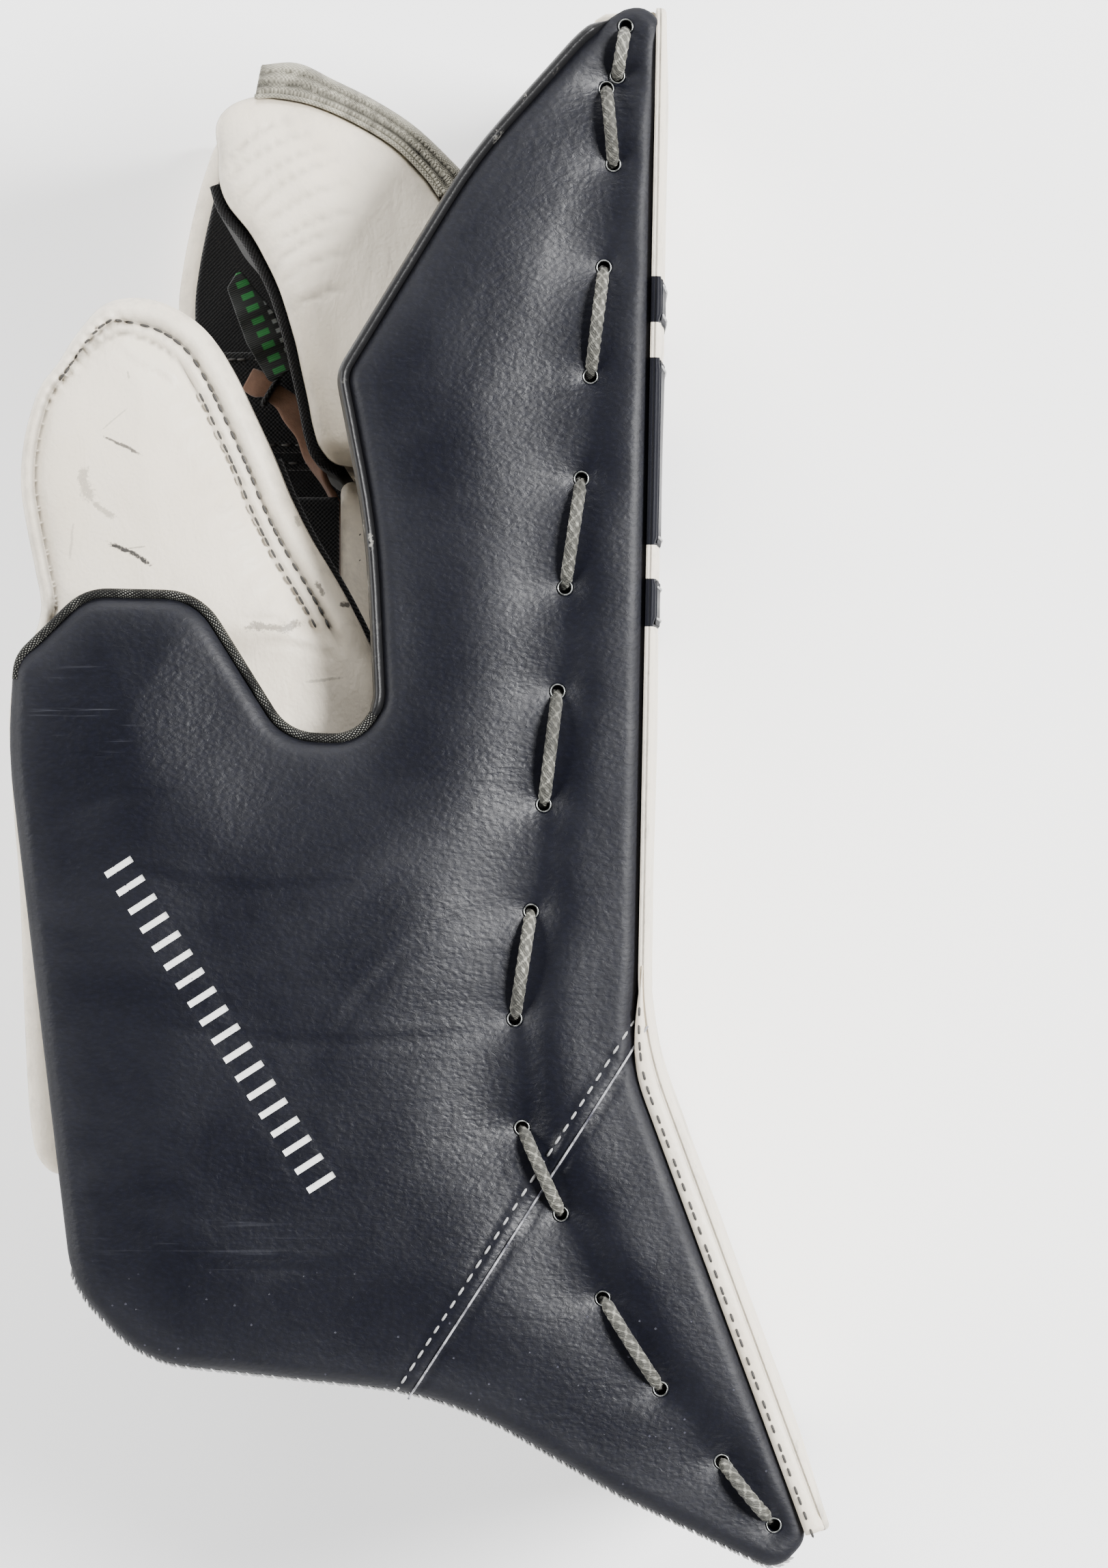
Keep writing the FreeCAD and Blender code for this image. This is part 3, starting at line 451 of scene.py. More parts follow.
def creases(x, y, lines, width, depth):
    """Grooves along curved lines. Each line is (x1, y1, x2, y2, bow): distance from the arc between the
    two ends gives a bell-shaped groove, with a low ridge beside it, that fades towards the ends."""
    total = np.zeros_like(x)
    for x1, y1, x2, y2, bow in lines:
        run = np.array([x2 - x1, y2 - y1])
        reach = np.linalg.norm(run)
        run = run / reach
        t = ((x - x1) * run[0] + (y - y1) * run[1]) / reach
        off = -(x - x1) * run[1] + (y - y1) * run[0] - bow * 4 * t * (1 - t)
        fade = np.clip(1 - (2 * t - 1) ** 2, 0, 1) ** 0.7
        groove = bell(off, width) - 0.45 * bell(off - 1.6 * width, width)
        total -= depth * fade * groove
    return total


# ---------------------------------------------------------------- finishes


class Finish:
    """Builds one node material: every method adds a node and gives its output."""

    def __init__(self, name, rough=0.5):
        """A new material with one shader; place is the Object coordinate that patterns follow."""
        self.material = bpy.data.materials.new(name)
        self.material.use_nodes = True
        self.tree = self.material.node_tree
        self.shader = next(n for n in self.tree.nodes if n.type == "BSDF_PRINCIPLED")
        self.shader.inputs["Roughness"].default_value = rough
        self.place = self.node("ShaderNodeTexCoord").outputs["Object"]

    def node(self, kind, **values):
        """A node of a kind with its settings."""
        made = self.tree.nodes.new(kind)
        for key, value in values.items():
            setattr(made, key, value)
        return made

    def feed(self, socket, value):
        """Links an output to a socket, or sets the socket's own number or colour."""
        if isinstance(value, bpy.types.NodeSocket):
            self.tree.links.new(value, socket)
        elif isinstance(value, (tuple, list)) and len(value) == 3 and socket.type == "RGBA":
            socket.default_value = (*value, 1)
        else:
            socket.default_value = value

    def mapped(self, scale, turn=(0, 0, 0)):
        """Coordinates stretched and turned."""
        made = self.node("ShaderNodeMapping")
        self.feed(made.inputs["Vector"], self.place)
        made.inputs["Scale"].default_value = scale
        made.inputs["Rotation"].default_value = turn
        return made.outputs[0]

    def noise(self, scale, detail=3.0, rough=0.5, stretch=(1, 1, 1), turn=(0, 0, 0), twist=0.0):
        """Cloudy noise, 0 to 1; scale is its cycles a metre."""
        made = self.node("ShaderNodeTexNoise")
        self.feed(made.inputs["Vector"], self.mapped(stretch, turn))
        made.inputs["Scale"].default_value = scale
        made.inputs["Detail"].default_value = detail
        made.inputs["Roughness"].default_value = rough
        made.inputs["Distortion"].default_value = twist
        return made.outputs["Fac"]

    def cells(self, scale, stretch=(1, 1, 1), feature="SMOOTH_F1"):
        """Distance from the nearest of many scattered points; scale is points a metre."""
        made = self.node("ShaderNodeTexVoronoi", feature=feature)
        self.feed(made.inputs["Vector"], self.mapped(stretch))
        made.inputs["Scale"].default_value = scale
        return made.outputs["Distance"]

    def math(self, what, a, b=0.5, c=0.0):
        """One sum on up to three numbers."""
        made = self.node("ShaderNodeMath", operation=what)
        for socket, value in zip(made.inputs, (a, b, c)):
            self.feed(socket, value)
        return made.outputs[0]

    def ramp(self, value, a, b, low_to=0.0, high_to=1.0):
        """low_to up to a, high_to from b on, and smooth between."""
        made = self.node("ShaderNodeMapRange", interpolation_type="SMOOTHSTEP")
        self.feed(made.inputs[0], value)
        for socket, number in zip(list(made.inputs)[1:5], (a, b, low_to, high_to)):
            self.feed(socket, number)
        return made.outputs[0]

    def mix(self, share, a, b):
        """Colour a at share 0 and colour b at share 1."""
        made = self.node("ShaderNodeMix", data_type="RGBA", blend_type="MIX")
        self.feed(made.inputs[0], share)
        self.feed(made.inputs[6], a)
        self.feed(made.inputs[7], b)
        return made.outputs[2]

    def mark(self, name):
        """A named number that the mesh holds at each point."""
        made = self.node("ShaderNodeAttribute", attribute_name=name)
        return made.outputs["Fac"]

    def axis(self, which):
        """The place along X, Y or Z, in metres."""
        made = self.node("ShaderNodeSeparateXYZ")
        self.feed(made.inputs[0], self.place)
        return made.outputs[which]

    def along(self):
        """The piece's own texture coordinates, in metres along and across."""
        made = self.node("ShaderNodeSeparateXYZ")
        source = self.node("ShaderNodeTexCoord")
        self.feed(made.inputs[0], source.outputs["UV"])
        return made.outputs[0], made.outputs[1]

    def near(self, x, y, reach_x, reach_y):
        """A soft oval patch about a place in the plan, 1 at its middle."""
        dx = self.math("DIVIDE", self.math("SUBTRACT", self.axis(0), x * MM), reach_x * MM)
        dy = self.math("DIVIDE", self.math("SUBTRACT", self.axis(1), y * MM), reach_y * MM)
        square = self.math("ADD", self.math("MULTIPLY", dx, dx), self.math("MULTIPLY", dy, dy))
        return self.ramp(square, 0.1, 1.0, 1.0, 0.0)

    def stroke(self, x1, y1, x2, y2, wide):
        """A rubbed mark along a straight line in the plan: solid at its middle, broken up by grain towards
        its sides and ends."""
        reach = math.hypot(x2 - x1, y2 - y1)
        ux, uy = (x2 - x1) / reach, (y2 - y1) / reach
        wander = self.math("MULTIPLY_ADD", self.noise(170, 2), wide * 2.4 * MM, -wide * 1.2 * MM)
        x, y = self.math("SUBTRACT", self.axis(0), x1 * MM), self.math("SUBTRACT", self.axis(1), y1 * MM)
        along = self.math("ADD", self.math("MULTIPLY", x, ux), self.math("MULTIPLY", y, uy))
        off = self.math("SUBTRACT", self.math("MULTIPLY", y, ux), self.math("MULTIPLY", x, uy))
        off = self.math("ABSOLUTE", self.math("ADD", off, wander))
        body = self.ramp(off, 0.0, wide * 1.5 * MM, 1.0, 0.0)
        t = self.math("ABSOLUTE", self.math("MULTIPLY_ADD", along, 2000.0 / reach, -1.0))
        body = self.math("MULTIPLY", body, self.ramp(t, 0.45, 1.15, 1.0, 0.0))
        broken = self.math("ADD", body, self.math("MULTIPLY_ADD", self.noise(1500, 3, 0.7), 1.6, -0.95))
        return self.math("MULTIPLY", self.ramp(broken, 0.25, 0.75), self.ramp(body, 0.0, 0.15))

    def bump(self, height, depth, strength=1.0, before=None):
        """A normal from a height, over another normal if given; depth is in metres."""
        made = self.node("ShaderNodeBump")
        made.inputs["Strength"].default_value = strength
        made.inputs["Distance"].default_value = depth
        self.feed(made.inputs["Height"], height)
        if before is not None:
            self.feed(made.inputs["Normal"], before)
        return made.outputs[0]

    def finish(self, base, rough=None, normal=None, **values):
        """Feeds the shader and gives the material. The values are set on the shader's own sockets."""
        self.feed(self.shader.inputs["Base Color"], base)
        if rough is not None:
            self.feed(self.shader.inputs["Roughness"], rough)
        if normal is not None:
            self.feed(self.shader.inputs["Normal"], normal)
        for name, value in values.items():
            self.shader.inputs[name.replace("_", " ").title().replace("Ior", "IOR")].default_value = value
        return self.material


made_finishes = {}
kept_outlines = {}


def once(maker):
    """Keeps the material that a maker function gives, so that it is made only once for the same values."""

    def kept(*args):
        key = (maker.__name__, *args)
        if key not in made_finishes:
            made_finishes[key] = maker(*args)
        return made_finishes[key]

    return kept


def shade(base, factor):
    """A colour made lighter or darker."""
    return tuple(min(c * factor, 1.0) for c in base)


@once
def navy_leather(kind="plain"):
    """Pebbled navy leather: cells a millimetre across, stretched sideways, fine wrinkles between them,
    cloudy colour, rubbed lighter on the rims and dusty in the pits."""
    tone = tuple(bpy.context.scene.blocker_colours.navy)
    f = Finish("navy_leather_" + kind)
    pebbles = f.cells(1000, (0.72, 1.0, 1.0))
    wrinkle = f.noise(820, 4, 0.6, (0.6, 1.0, 1.0), (0, 0, 0.12), 0.8)
    broad = f.noise(26, 4, 0.6, twist=0.5)
    fold = f.noise(70, 3, 0.5, (0.35, 1.6, 1.0), (0, 0, 0.25), 1.4)
    lighter = (tone[0] * 1.22, tone[1] * 1.18, tone[2] * 1.06)
    cloudy = f.mix(f.ramp(broad, 0.35, 0.7), shade(tone, 0.86), lighter)
    pits = f.ramp(pebbles, 0.12, 0.62, 1.0, 0.0)
    base = f.mix(f.math("MULTIPLY", pits, 0.30), cloudy, shade(tone, 2.2))
    rubbed = f.math("MULTIPLY", f.mark("rim"), f.ramp(f.noise(90, 4, 0.7), 0.50, 0.66))
    base = f.mix(f.math("MULTIPLY", rubbed, 0.06), base, (0.05, 0.05, 0.055))
    scratch = f.ramp(f.noise(900, 2, 0.5, (0.04, 1.0, 0.2), (0, 0, -0.03)), 0.60, 0.72)
    where = f.math("MAXIMUM", f.near(-80, 17, 16, 14), f.math("MULTIPLY", f.near(-50, -112, 34, 10), 0.35))
    base = f.mix(f.math("MULTIPLY", f.math("MULTIPLY", scratch, where), 0.5), base, (0.06, 0.062, 0.075))
    height = f.math("ADD", f.math("MULTIPLY", pebbles, 0.55), f.math("MULTIPLY", wrinkle, 0.75))
    grain = f.bump(height, 0.00026, 0.5)
    soft = f.bump(fold, 0.0012, 0.12, grain)
    if kind == "perforated":
        dots = f.cells(260, (1, 1, 0.02), "F1")
        holes = f.ramp(dots, 0.05, 0.085, 1.0, 0.0)
        zone = f.ramp(f.axis(1), -0.112, -0.135)
        shown = f.math("MULTIPLY", holes, zone)
        base = f.mix(f.math("MULTIPLY", shown, 0.5), base, (0.07, 0.07, 0.10))
        soft = f.bump(shown, -0.0003, 0.5, soft)
    gloss = f.ramp(broad, 0.3, 0.75, 0.36, 0.46)
    gloss = f.math("MULTIPLY_ADD", f.mark("rim"), 0.34, gloss)
    return f.finish(base, gloss, soft, specular_ior_level=0.12 if kind == "stripe" else 0.37)


# Rubbed marks on the thumb cuff: the two ends in the plan, the width, and how dark.
SCUFFS = (
    (-78.8, 86.2, -66.8, 80.2, 0.55, 0.85),
    (-78.8, 86.2, -70.4, 93.4, 0.30, 0.30),
    (-83.2, 79.0, -80.0, 68.0, 1.9, 0.42),
    (-81.0, 70.0, -73.5, 65.0, 1.2, 0.42),
    (-84.5, 66.0, -86.0, 54.0, 0.5, 0.25),
    (-77.5, 60.0, -64.0, 53.0, 0.95, 0.97),
    (-72.0, 57.5, -66.0, 58.5, 0.35, 0.45),
    (-71.5, 102.0, -71.0, 99.5, 0.4, 0.35),
    (-44.0, 37.4, -26.5, 39.4, 1.9, 0.62),
    (-25.5, 50.0, -22.5, 46.0, 1.0, 0.75),
    (-30.5, 66.5, -29.0, 63.0, 0.9, 0.45),
    (-23.6, 57.8, -22.2, 56.8, 0.7, 0.95),
    (-19.5, 44.5, -16.5, 43.5, 1.0, 0.85),
    (-29.0, 24.5, -17.0, 26.5, 0.6, 0.35),
    (-15.2, 62.6, -14.9, 62.3, 0.5, 0.95),
    (-15.2, 56.2, -14.9, 55.9, 0.5, 0.95),
)


@once
def white_leather(marked=False):
    """White leather with a fine grain: faint warm clouds, hairline wrinkles, grey dust along rims and in the
    thumb cuff's seams, painted shade in the wrist pad's wrinkle grooves, and on the thumb cuff a few dark
    scuffs."""
    tone = tuple(bpy.context.scene.blocker_colours.white)
    f = Finish("white_leather_scuffed" if marked else "white_leather")
    grain = f.cells(1050, (1, 1, 1))
    hair = f.noise(240, 6, 0.62, (1, 0.5, 1), (0, 0, 0.6), 1.2)
    broad = f.noise(18, 4, 0.55, twist=0.4)
    base = f.mix(f.ramp(broad, 0.35, 0.72), tone, (tone[0] * 0.93, tone[1] * 0.905, tone[2] * 0.87))
    dusty = f.ramp(f.noise(55, 6, 0.72, twist=0.6), 0.56, 0.78)
    base = f.mix(f.math("MULTIPLY", dusty, 0.30), base, (0.36, 0.335, 0.29))
    edge = f.math("MULTIPLY", f.mark("rim"), f.ramp(f.noise(130, 5, 0.7), 0.42, 0.66))
    base = f.mix(f.math("MULTIPLY", edge, 0.38), base, (0.26, 0.24, 0.20))
    # Darkened along the seam mark: dust in the thumb cuff's seams, and painted shade in the wrist pad's
    # wrinkle grooves, whose crease lines the wrist pad gives as its seam mark.
    base = f.mix(f.math("MULTIPLY", f.mark("seam"), 0.85), base, (0.12, 0.105, 0.085))
    if marked:
        for *line, share in SCUFFS:
            rub = f.math("MULTIPLY", f.stroke(*line), share)
            base = f.mix(rub, base, (0.022, 0.021, 0.021))
    lumps = f.bump(f.math("ADD", f.math("MULTIPLY", grain, 0.35), hair), 0.00036, 0.6)
    soft = f.bump(f.noise(46, 3, 0.5, (1, 0.6, 1), (0, 0, 0.4), 1.0), 0.0014, 0.45, lumps)
    return f.finish(base, f.ramp(broad, 0.3, 0.7, 0.42, 0.56), soft, specular_ior_level=0.42)


@once
def face_finish():
    """White face leather, dusty and rubbed, dyed navy where the stripes run over its edge."""
    colours = bpy.context.scene.blocker_colours
    tone, dark = tuple(colours.white), tuple(colours.navy)
    f = Finish("face_leather")
    rubs = f.ramp(f.noise(60, 6, 0.72, (1, 0.5, 1), twist=0.5), 0.50, 0.72)
    base = f.mix(f.math("MULTIPLY", rubs, 0.55), tone, (0.30, 0.30, 0.27))
    fine = f.ramp(f.noise(420, 5, 0.7, (1, 0.3, 1)), 0.56, 0.70)
    base = f.mix(f.math("MULTIPLY", fine, 0.35), base, (0.20, 0.20, 0.19))
    y = f.axis(1)
    for node in ("face_stripe_upper", "face_band", "face_stripe_lower"):
        first, last = (corner.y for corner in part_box(node))
        on = f.math("MULTIPLY", f.math("GREATER_THAN", y, first), f.math("LESS_THAN", y, last))
        base = f.mix(on, base, dark)
    lumps = f.bump(f.noise(240, 6, 0.62, (1, 0.5, 1), (0, 0, 0.6), 1.2), 0.0004, 0.5)
    return f.finish(base, 0.55, lumps, specular_ior_level=0.15)


@once
def worn_binding():
    """Black binding leather, cracked through to pale cloth where it has rubbed."""
    tone = tuple(bpy.context.scene.blocker_colours.binding)
    f = Finish("worn_binding")
    worn = f.ramp(f.noise(120, 6, 0.75), 0.585, 0.64)
    where = f.ramp(f.noise(22, 3, 0.6), 0.46, 0.60)
    share = f.math("MULTIPLY", worn, where)
    base = f.mix(share, f.mix(f.noise(60, 3), tone, shade(tone, 1.8)), (0.30, 0.29, 0.26))
    rough = f.ramp(share, 0, 1, 0.42, 0.8)
    return f.finish(base, rough, f.bump(f.noise(500, 4, 0.6), 0.0003, 0.5), specular_ior_level=0.28)


@once
def cloth(name, key, pitch=0.9, contrast=0.5, dirt=0.0, rough=0.85):
    """Woven or knitted cloth: crossed threads at an even pitch along and across the piece's own map,
    raised where they cross over, with soiled patches if asked."""
    tone = tuple(getattr(bpy.context.scene.blocker_colours, key))
    f = Finish(name, rough)
    u, v = f.along()
    turn = 2 * math.pi / (pitch * MM)
    a = f.math("SINE", f.math("MULTIPLY", u, turn))
    b = f.math("SINE", f.math("MULTIPLY", v, turn))
    weave = f.math("MULTIPLY_ADD", f.math("MULTIPLY", a, b), 0.5, 0.5)
    base = f.mix(f.math("MULTIPLY", weave, contrast), tone, shade(tone, 0.28))
    if dirt:
        soil = f.ramp(f.noise(48, 5, 0.7, twist=0.8), 0.47, 0.66)
        base = f.mix(f.math("MULTIPLY", soil, dirt), base, shade(tone, 0.13))
        # Darker along the seam mark; on the mesh tape this mark lies in the grooves between its bands.
        base = f.mix(f.math("MULTIPLY", f.mark("seam"), 0.8), base, shade(tone, 0.10))
    fluff = f.noise(1600, 2, 0.6)
    height = f.math("ADD", weave, f.math("MULTIPLY", fluff, 0.3))
    return f.finish(base, None, f.bump(height, -0.00035, 0.8), specular_ior_level=0.25, sheen_weight=0.15)


@once
def thread(name, key):
    """Twisted sewing thread: fine slanting ridges along the stitch."""
    tone = tuple(getattr(bpy.context.scene.blocker_colours, key))
    f = Finish(name, 0.6)
    base = f.mix(f.noise(2500, 2), tone, shade(tone, 0.7))
    return f.finish(base, None, f.bump(f.noise(3500, 1), 0.0001, 0.5))


def webbing():
    """Black strap webbing."""
    return cloth("webbing", "lining", 1.1, 0.35)


def knit_lining():
    """Black knitted lining."""
    return cloth("knit_lining", "lining", 1.1, 0.3)


def mesh_tape():
    """Soiled woven mesh tape."""
    return cloth("mesh_tape", "mesh_tape", 0.95, 0.75, 0.6)


def pale_thread():
    """Thread of the stitches in navy leather."""
    return thread("thread_pale", "thread_light")


def dark_thread():
    """Thread of the stitches in white leather and webbing."""
    return thread("thread_black", "thread_dark")


@once
def napped(name, key):
    """Napped leather: short fibres, mottled colour, no gloss."""
    tone = tuple(getattr(bpy.context.scene.blocker_colours, key))
    f = Finish(name, 0.92)
    mottle = f.noise(60, 5, 0.7, twist=0.5)
    base = f.mix(f.ramp(mottle, 0.3, 0.7), shade(tone, 1.12), shade(tone, 0.62))
    base = f.mix(f.math("MULTIPLY", f.noise(900, 3, 0.7), 0.45), base, shade(tone, 0.5))
    return f.finish(base, None, f.bump(f.noise(1500, 4, 0.8), 0.0004, 0.6), sheen_weight=0.2)


@once
def foam(name, tone):
    """Closed-cell foam: small bubbles cut open on a cut face."""
    f = Finish(name, 0.85)
    bubbles = f.cells(900)
    base = f.mix(f.ramp(bubbles, 0.1, 0.5), shade(tone, 0.6), tone)
    return f.finish(base, None, f.bump(bubbles, 0.0004, 0.5))


@once
def lace_finish():
    """Polyester braid: grey and cream yarns, soiled in patches, with painted shade in the hollows between the
    yarns, and a slight gloss.
    """
    tone = tuple(bpy.context.scene.blocker_colours.lace)
    f = Finish("lace_braid", 0.55)
    u, v = f.along()
    yarn = f.noise(2600, 2, 0.6)
    soil = f.ramp(f.noise(75, 4, 0.7), 0.38, 0.66)
    base = f.mix(soil, shade(tone, 2.3), shade(tone, 0.6))
    base = f.mix(f.math("MULTIPLY", yarn, 0.4), base, shade(tone, 0.35))
    # Painted shade: near black where the yarn mark, the braid's swell, is low, in the hollows between the
    # yarns.
    base = f.mix(f.ramp(f.mark("yarn"), 0.45, 0.85, 0.85, 0.0), base, shade(tone, 0.12))
    ply = f.math("SINE", f.math("MULTIPLY", f.math("ADD", u, f.math("MULTIPLY", v, 0.8)), 9000.0))
    return f.finish(base, None, f.bump(ply, 0.00012, 0.6), specular_ior_level=0.4, sheen_weight=0.1)


@once
def ring_metal():
    """Dull plated metal, scratched and slightly stained."""
    tone = tuple(bpy.context.scene.blocker_colours.ring)
    f = Finish("ring_metal", 0.32)
    base = f.mix(f.ramp(f.noise(300, 4, 0.7), 0.45, 0.7), tone, shade(tone, 0.45))
    rough = f.ramp(f.noise(500, 3), 0.3, 0.7, 0.24, 0.5)
    return f.finish(base, rough, f.bump(f.noise(1200, 2), 0.0001, 0.3), metallic=1.0)


@once
def painted_bars():
    """Matt white print, chipped a little at its edges."""
    f = Finish("printed_bars", 0.55)
    chip = f.ramp(f.noise(700, 4, 0.7), 0.64, 0.72)
    base = f.mix(chip, (0.80, 0.80, 0.78), (0.05, 0.05, 0.08))
    return f.finish(base, None, f.bump(f.cells(820, (0.62, 1, 1)), 0.0002, 0.3))


@once
def label_finish():
    """Woven satin label: black ground with a row of plain green bars and a row of short grey bars."""
    f = Finish("woven_label", 0.6)
    u, v = f.along()
    wide = f.ramp(f.math("SINE", f.math("MULTIPLY", u, 2 * math.pi / 0.0034)), -0.1, 0.3)
    narrow = f.ramp(f.math("SINE", f.math("MULTIPLY", u, 2 * math.pi / 0.0026)), 0.0, 0.35)
    row_a = f.math("MULTIPLY", f.ramp(v, 0.0012, 0.0016), f.ramp(v, 0.0044, 0.0048, 1.0, 0.0))
    row_b = f.math("MULTIPLY", f.ramp(v, 0.0060, 0.0063), f.ramp(v, 0.0078, 0.0081, 1.0, 0.0))
    grey = f.math("MULTIPLY", f.math("MULTIPLY", narrow, row_b), 0.7)
    base = f.mix(grey, (0.006, 0.008, 0.007), (0.26, 0.28, 0.27))
    base = f.mix(f.math("MULTIPLY", wide, row_a), base, (0.015, 0.17, 0.035))
    threads = f.math("SINE", f.math("MULTIPLY", u, 2 * math.pi / 0.0005))
    return f.finish(base, None, f.bump(threads, 0.0001, 0.6))


@once
def tape_cloth():
    """Narrow woven tape: black ground with pale grey warp dashes."""
    f = Finish("edge_tape", 0.8)
    u, v = f.along()
    a = f.math("SINE", f.math("MULTIPLY", u, 2 * math.pi / 0.0011))
    b = f.math("SINE", f.math("MULTIPLY_ADD", v, 2 * math.pi / 0.0009, f.math("MULTIPLY", u, 1400.0)))
    dash = f.ramp(f.math("MULTIPLY", a, b), 0.25, 0.6)
    dash = f.math("MULTIPLY", dash, f.ramp(f.noise(160, 3), 0.4, 0.6, 0.15, 1.0))
    base = f.mix(dash, (0.003, 0.003, 0.003), (0.24, 0.24, 0.21))
    return f.finish(base, None, f.bump(dash, 0.0003, 0.8), specular_ior_level=0.15)


@once
def raw_edge():
    """Cut edge of leather, rubbed pale in places."""
    f = Finish("raw_edge", 0.6)
    worn = f.ramp(f.noise(140, 5, 0.7), 0.36, 0.60)
    return f.finish(f.mix(worn, (0.03, 0.03, 0.045), (0.40, 0.40, 0.42)))


@once
def knit_by_place():
    """Black knit on a piece with no map of its own: fine ribs up and across by place."""
    f = Finish("web_knit", 0.9)
    a = f.math("SINE", f.math("MULTIPLY", f.axis(0), 2 * math.pi / 0.0012))
    b = f.math("SINE", f.math("MULTIPLY", f.axis(2), 2 * math.pi / 0.0016))
    rib = f.math("MULTIPLY_ADD", f.math("MULTIPLY", a, b), 0.5, 0.5)
    base = f.mix(rib, (0.004, 0.004, 0.0045), (0.016, 0.016, 0.017))
    return f.finish(base, None, f.bump(rib, 0.0003, 0.7), sheen_weight=0.1)


@once
def stage_floor():
    """Plain pale paper."""
    f = Finish("stage_paper", 0.9)
    base = f.mix(f.noise(3, 2), (0.86, 0.86, 0.86), (0.88, 0.88, 0.88))
    return f.finish(base, emission_color=(1.0, 1.0, 1.0, 1.0), emission_strength=0.9)


# ---------------------------------------------------------------- shapes that several pieces share

LACE_HOLES = [
    ((51.4, 184.6), (49.4, 172.6)),
    ((46.7, 169.5), (48.4, 151.0)),
    ((46.1, 125.8), (42.8, 99.2)),
    ((40.6, 74.2), (36.6, 47.6)),
    ((34.8, 22.3), (31.4, -5.3)),
    ((28.3, -31.4), (24.3, -57.6)),
    ((26.1, -84.2), (35.6, -105.2)),
    ((45.8, -125.8), (59.9, -147.9)),
    ((74.9, -165.7), (87.6, -181.2)),
]
HOLES = np.array([hole for pair in LACE_HOLES for hole in pair])
LACE_LINE = np.vstack([[52.4, 200.0], HOLES, [99.0, -196.0]])
SIDE_SEAM = np.array([[60.6, -53.6], [-6.5, -158.1]])
FACE_TOP, FACE_BEND, FACE_TIP = (61.6, 190.4), (56.77, -61.05), (101.7, -182.5)
BEND_RADIUS = 85.0
FACE_WIDTH = 203.0
FACE_EDGE = 1.35  # radius of the face leather's edge
CORE_WIDTH = 178.5


def beside(points, line):
    """Distance from a line of straight runs, positive to the left hand of someone who walks along it."""
    best = np.full(len(points), 1e9)
    signed = best.copy()
    for a, b in zip(line[:-1], line[1:]):
        run = b - a
        t = np.clip(((points - a) @ run) / (run @ run), 0, 1)
        off = points - a - t[:, None] * run
        d = np.linalg.norm(off, axis=1)
        side = np.sign(run[0] * off[:, 1] - run[1] * off[:, 0])
        signed = np.where(d < best, d * side, signed)
        best = np.minimum(d, best)
    return signed


def face_place(s):
    """Place and outward direction on the face's line at distance s from its top: straight, then round the
    bend on an arc that touches both runs, then straight to the tip."""
    top, corner, tip = (np.array(p) for p in (FACE_TOP, FACE_BEND, FACE_TIP))
    one, two = unit(corner - top), unit(tip - corner)
    turn = math.acos(float(one @ two))
    reach = BEND_RADIUS * math.tan(turn / 2)
    first = np.linalg.norm(corner - top) - reach
    arc = BEND_RADIUS * turn
    out = np.array([-one[1], one[0]])
    centre = top + one * first + out * BEND_RADIUS
    s = np.asarray(s, float)
    angle = np.clip((s - first) / BEND_RADIUS, 0, turn)[..., None]
    outward = out * np.cos(angle) - one * np.sin(angle)
    ahead = one * np.cos(angle) + out * np.sin(angle)
    before, after = np.minimum(s - first, 0)[..., None], np.maximum(s - first - arc, 0)[..., None]
    return centre - outward * BEND_RADIUS + one * before + ahead * after, outward


def face_length():
    """Length of the face's line."""
    top, corner, tip = (np.array(p) for p in (FACE_TOP, FACE_BEND, FACE_TIP))
    turn = math.acos(float(unit(corner - top) @ unit(tip - corner)))
    runs = np.linalg.norm(corner - top) + np.linalg.norm(tip - corner)
    return runs + BEND_RADIUS * (turn - 2 * math.tan(turn / 2))


def bent(flat):
    """Points of the board's own plan, distance down the face, width and height off it, bent to its line."""
    place, outward = face_place(flat[:, 0])
    plan = place + outward * flat[:, 2:3]
    return np.column_stack([plan, flat[:, 1]])


def rounded_box(x1, y1, x2, y2, corners):
    """A box outline, counter-clockwise, with the four corner radii from its low corner round."""
    parts = []
    turns = ((x1, y1, 180), (x2, y1, 270), (x2, y2, 0), (x1, y2, 90))
    for (x, y, start), r in zip(turns, corners):
        a = np.radians(np.linspace(start, start + 90, 12))
        cx = x + (r if x == x1 else -r)
        cy = y + (r if y == y1 else -r)
        parts.append(np.stack([cx + r * np.cos(a), cy + r * np.sin(a)], 1))
    return np.vstack(parts)


def pad(name, loop, bottom, top, edge, step, material, slot_name, stands_for=(), body=SHELL, fill=0.8,
        change=None, mapped=None, marks_of=None, **shape):
    """A pad over an outline that stands for its frame nodes. shape is what pad_mesh takes, change moves its
    points, mapped gives its texture coordinates, and marks_of its named numbers. fill is not used."""
    points, faces, marks, d = pad_mesh(loop, bottom, top, edge, step, **shape)
    if marks_of:
        marks.update({k: np.tile(v, 2) for k, v in marks_of(points[: len(d), :2], d).items()})
    uv = mapped(points) if mapped else points[:, :2] * MM
    if change:
        points = change(points)
    made = piece(name, points, faces, material, body, uv, marks)
    if stands_for:
        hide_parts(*stands_for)
    return made


def strip(name, path, normal, profile, material, stands_for=(), body=SHELL, closed=False,
          size=1.0):
    """A piece made of one profile carried along a path."""
    points, faces, uv = sweep(path, normal, profile, closed, size)
    made = piece(name, points, faces, material, body, uv)
    if stands_for:
        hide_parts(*stands_for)
    return made


def block(width, tall, radius, count=5):
    """A rounded box as a profile centred on nothing."""
    outline = rounded_box(-width / 2, -tall / 2, width / 2, tall / 2, (radius,) * 4)
    return outline[:: max(1, 12 // count)]


# ---------------------------------------------------------------- the side panel


def toe_share(y):
    """How much of the toe roll shows at a height in the plan: nothing above the bend, all of it below."""
    return step_up((-43.0 - y) / 30.0)


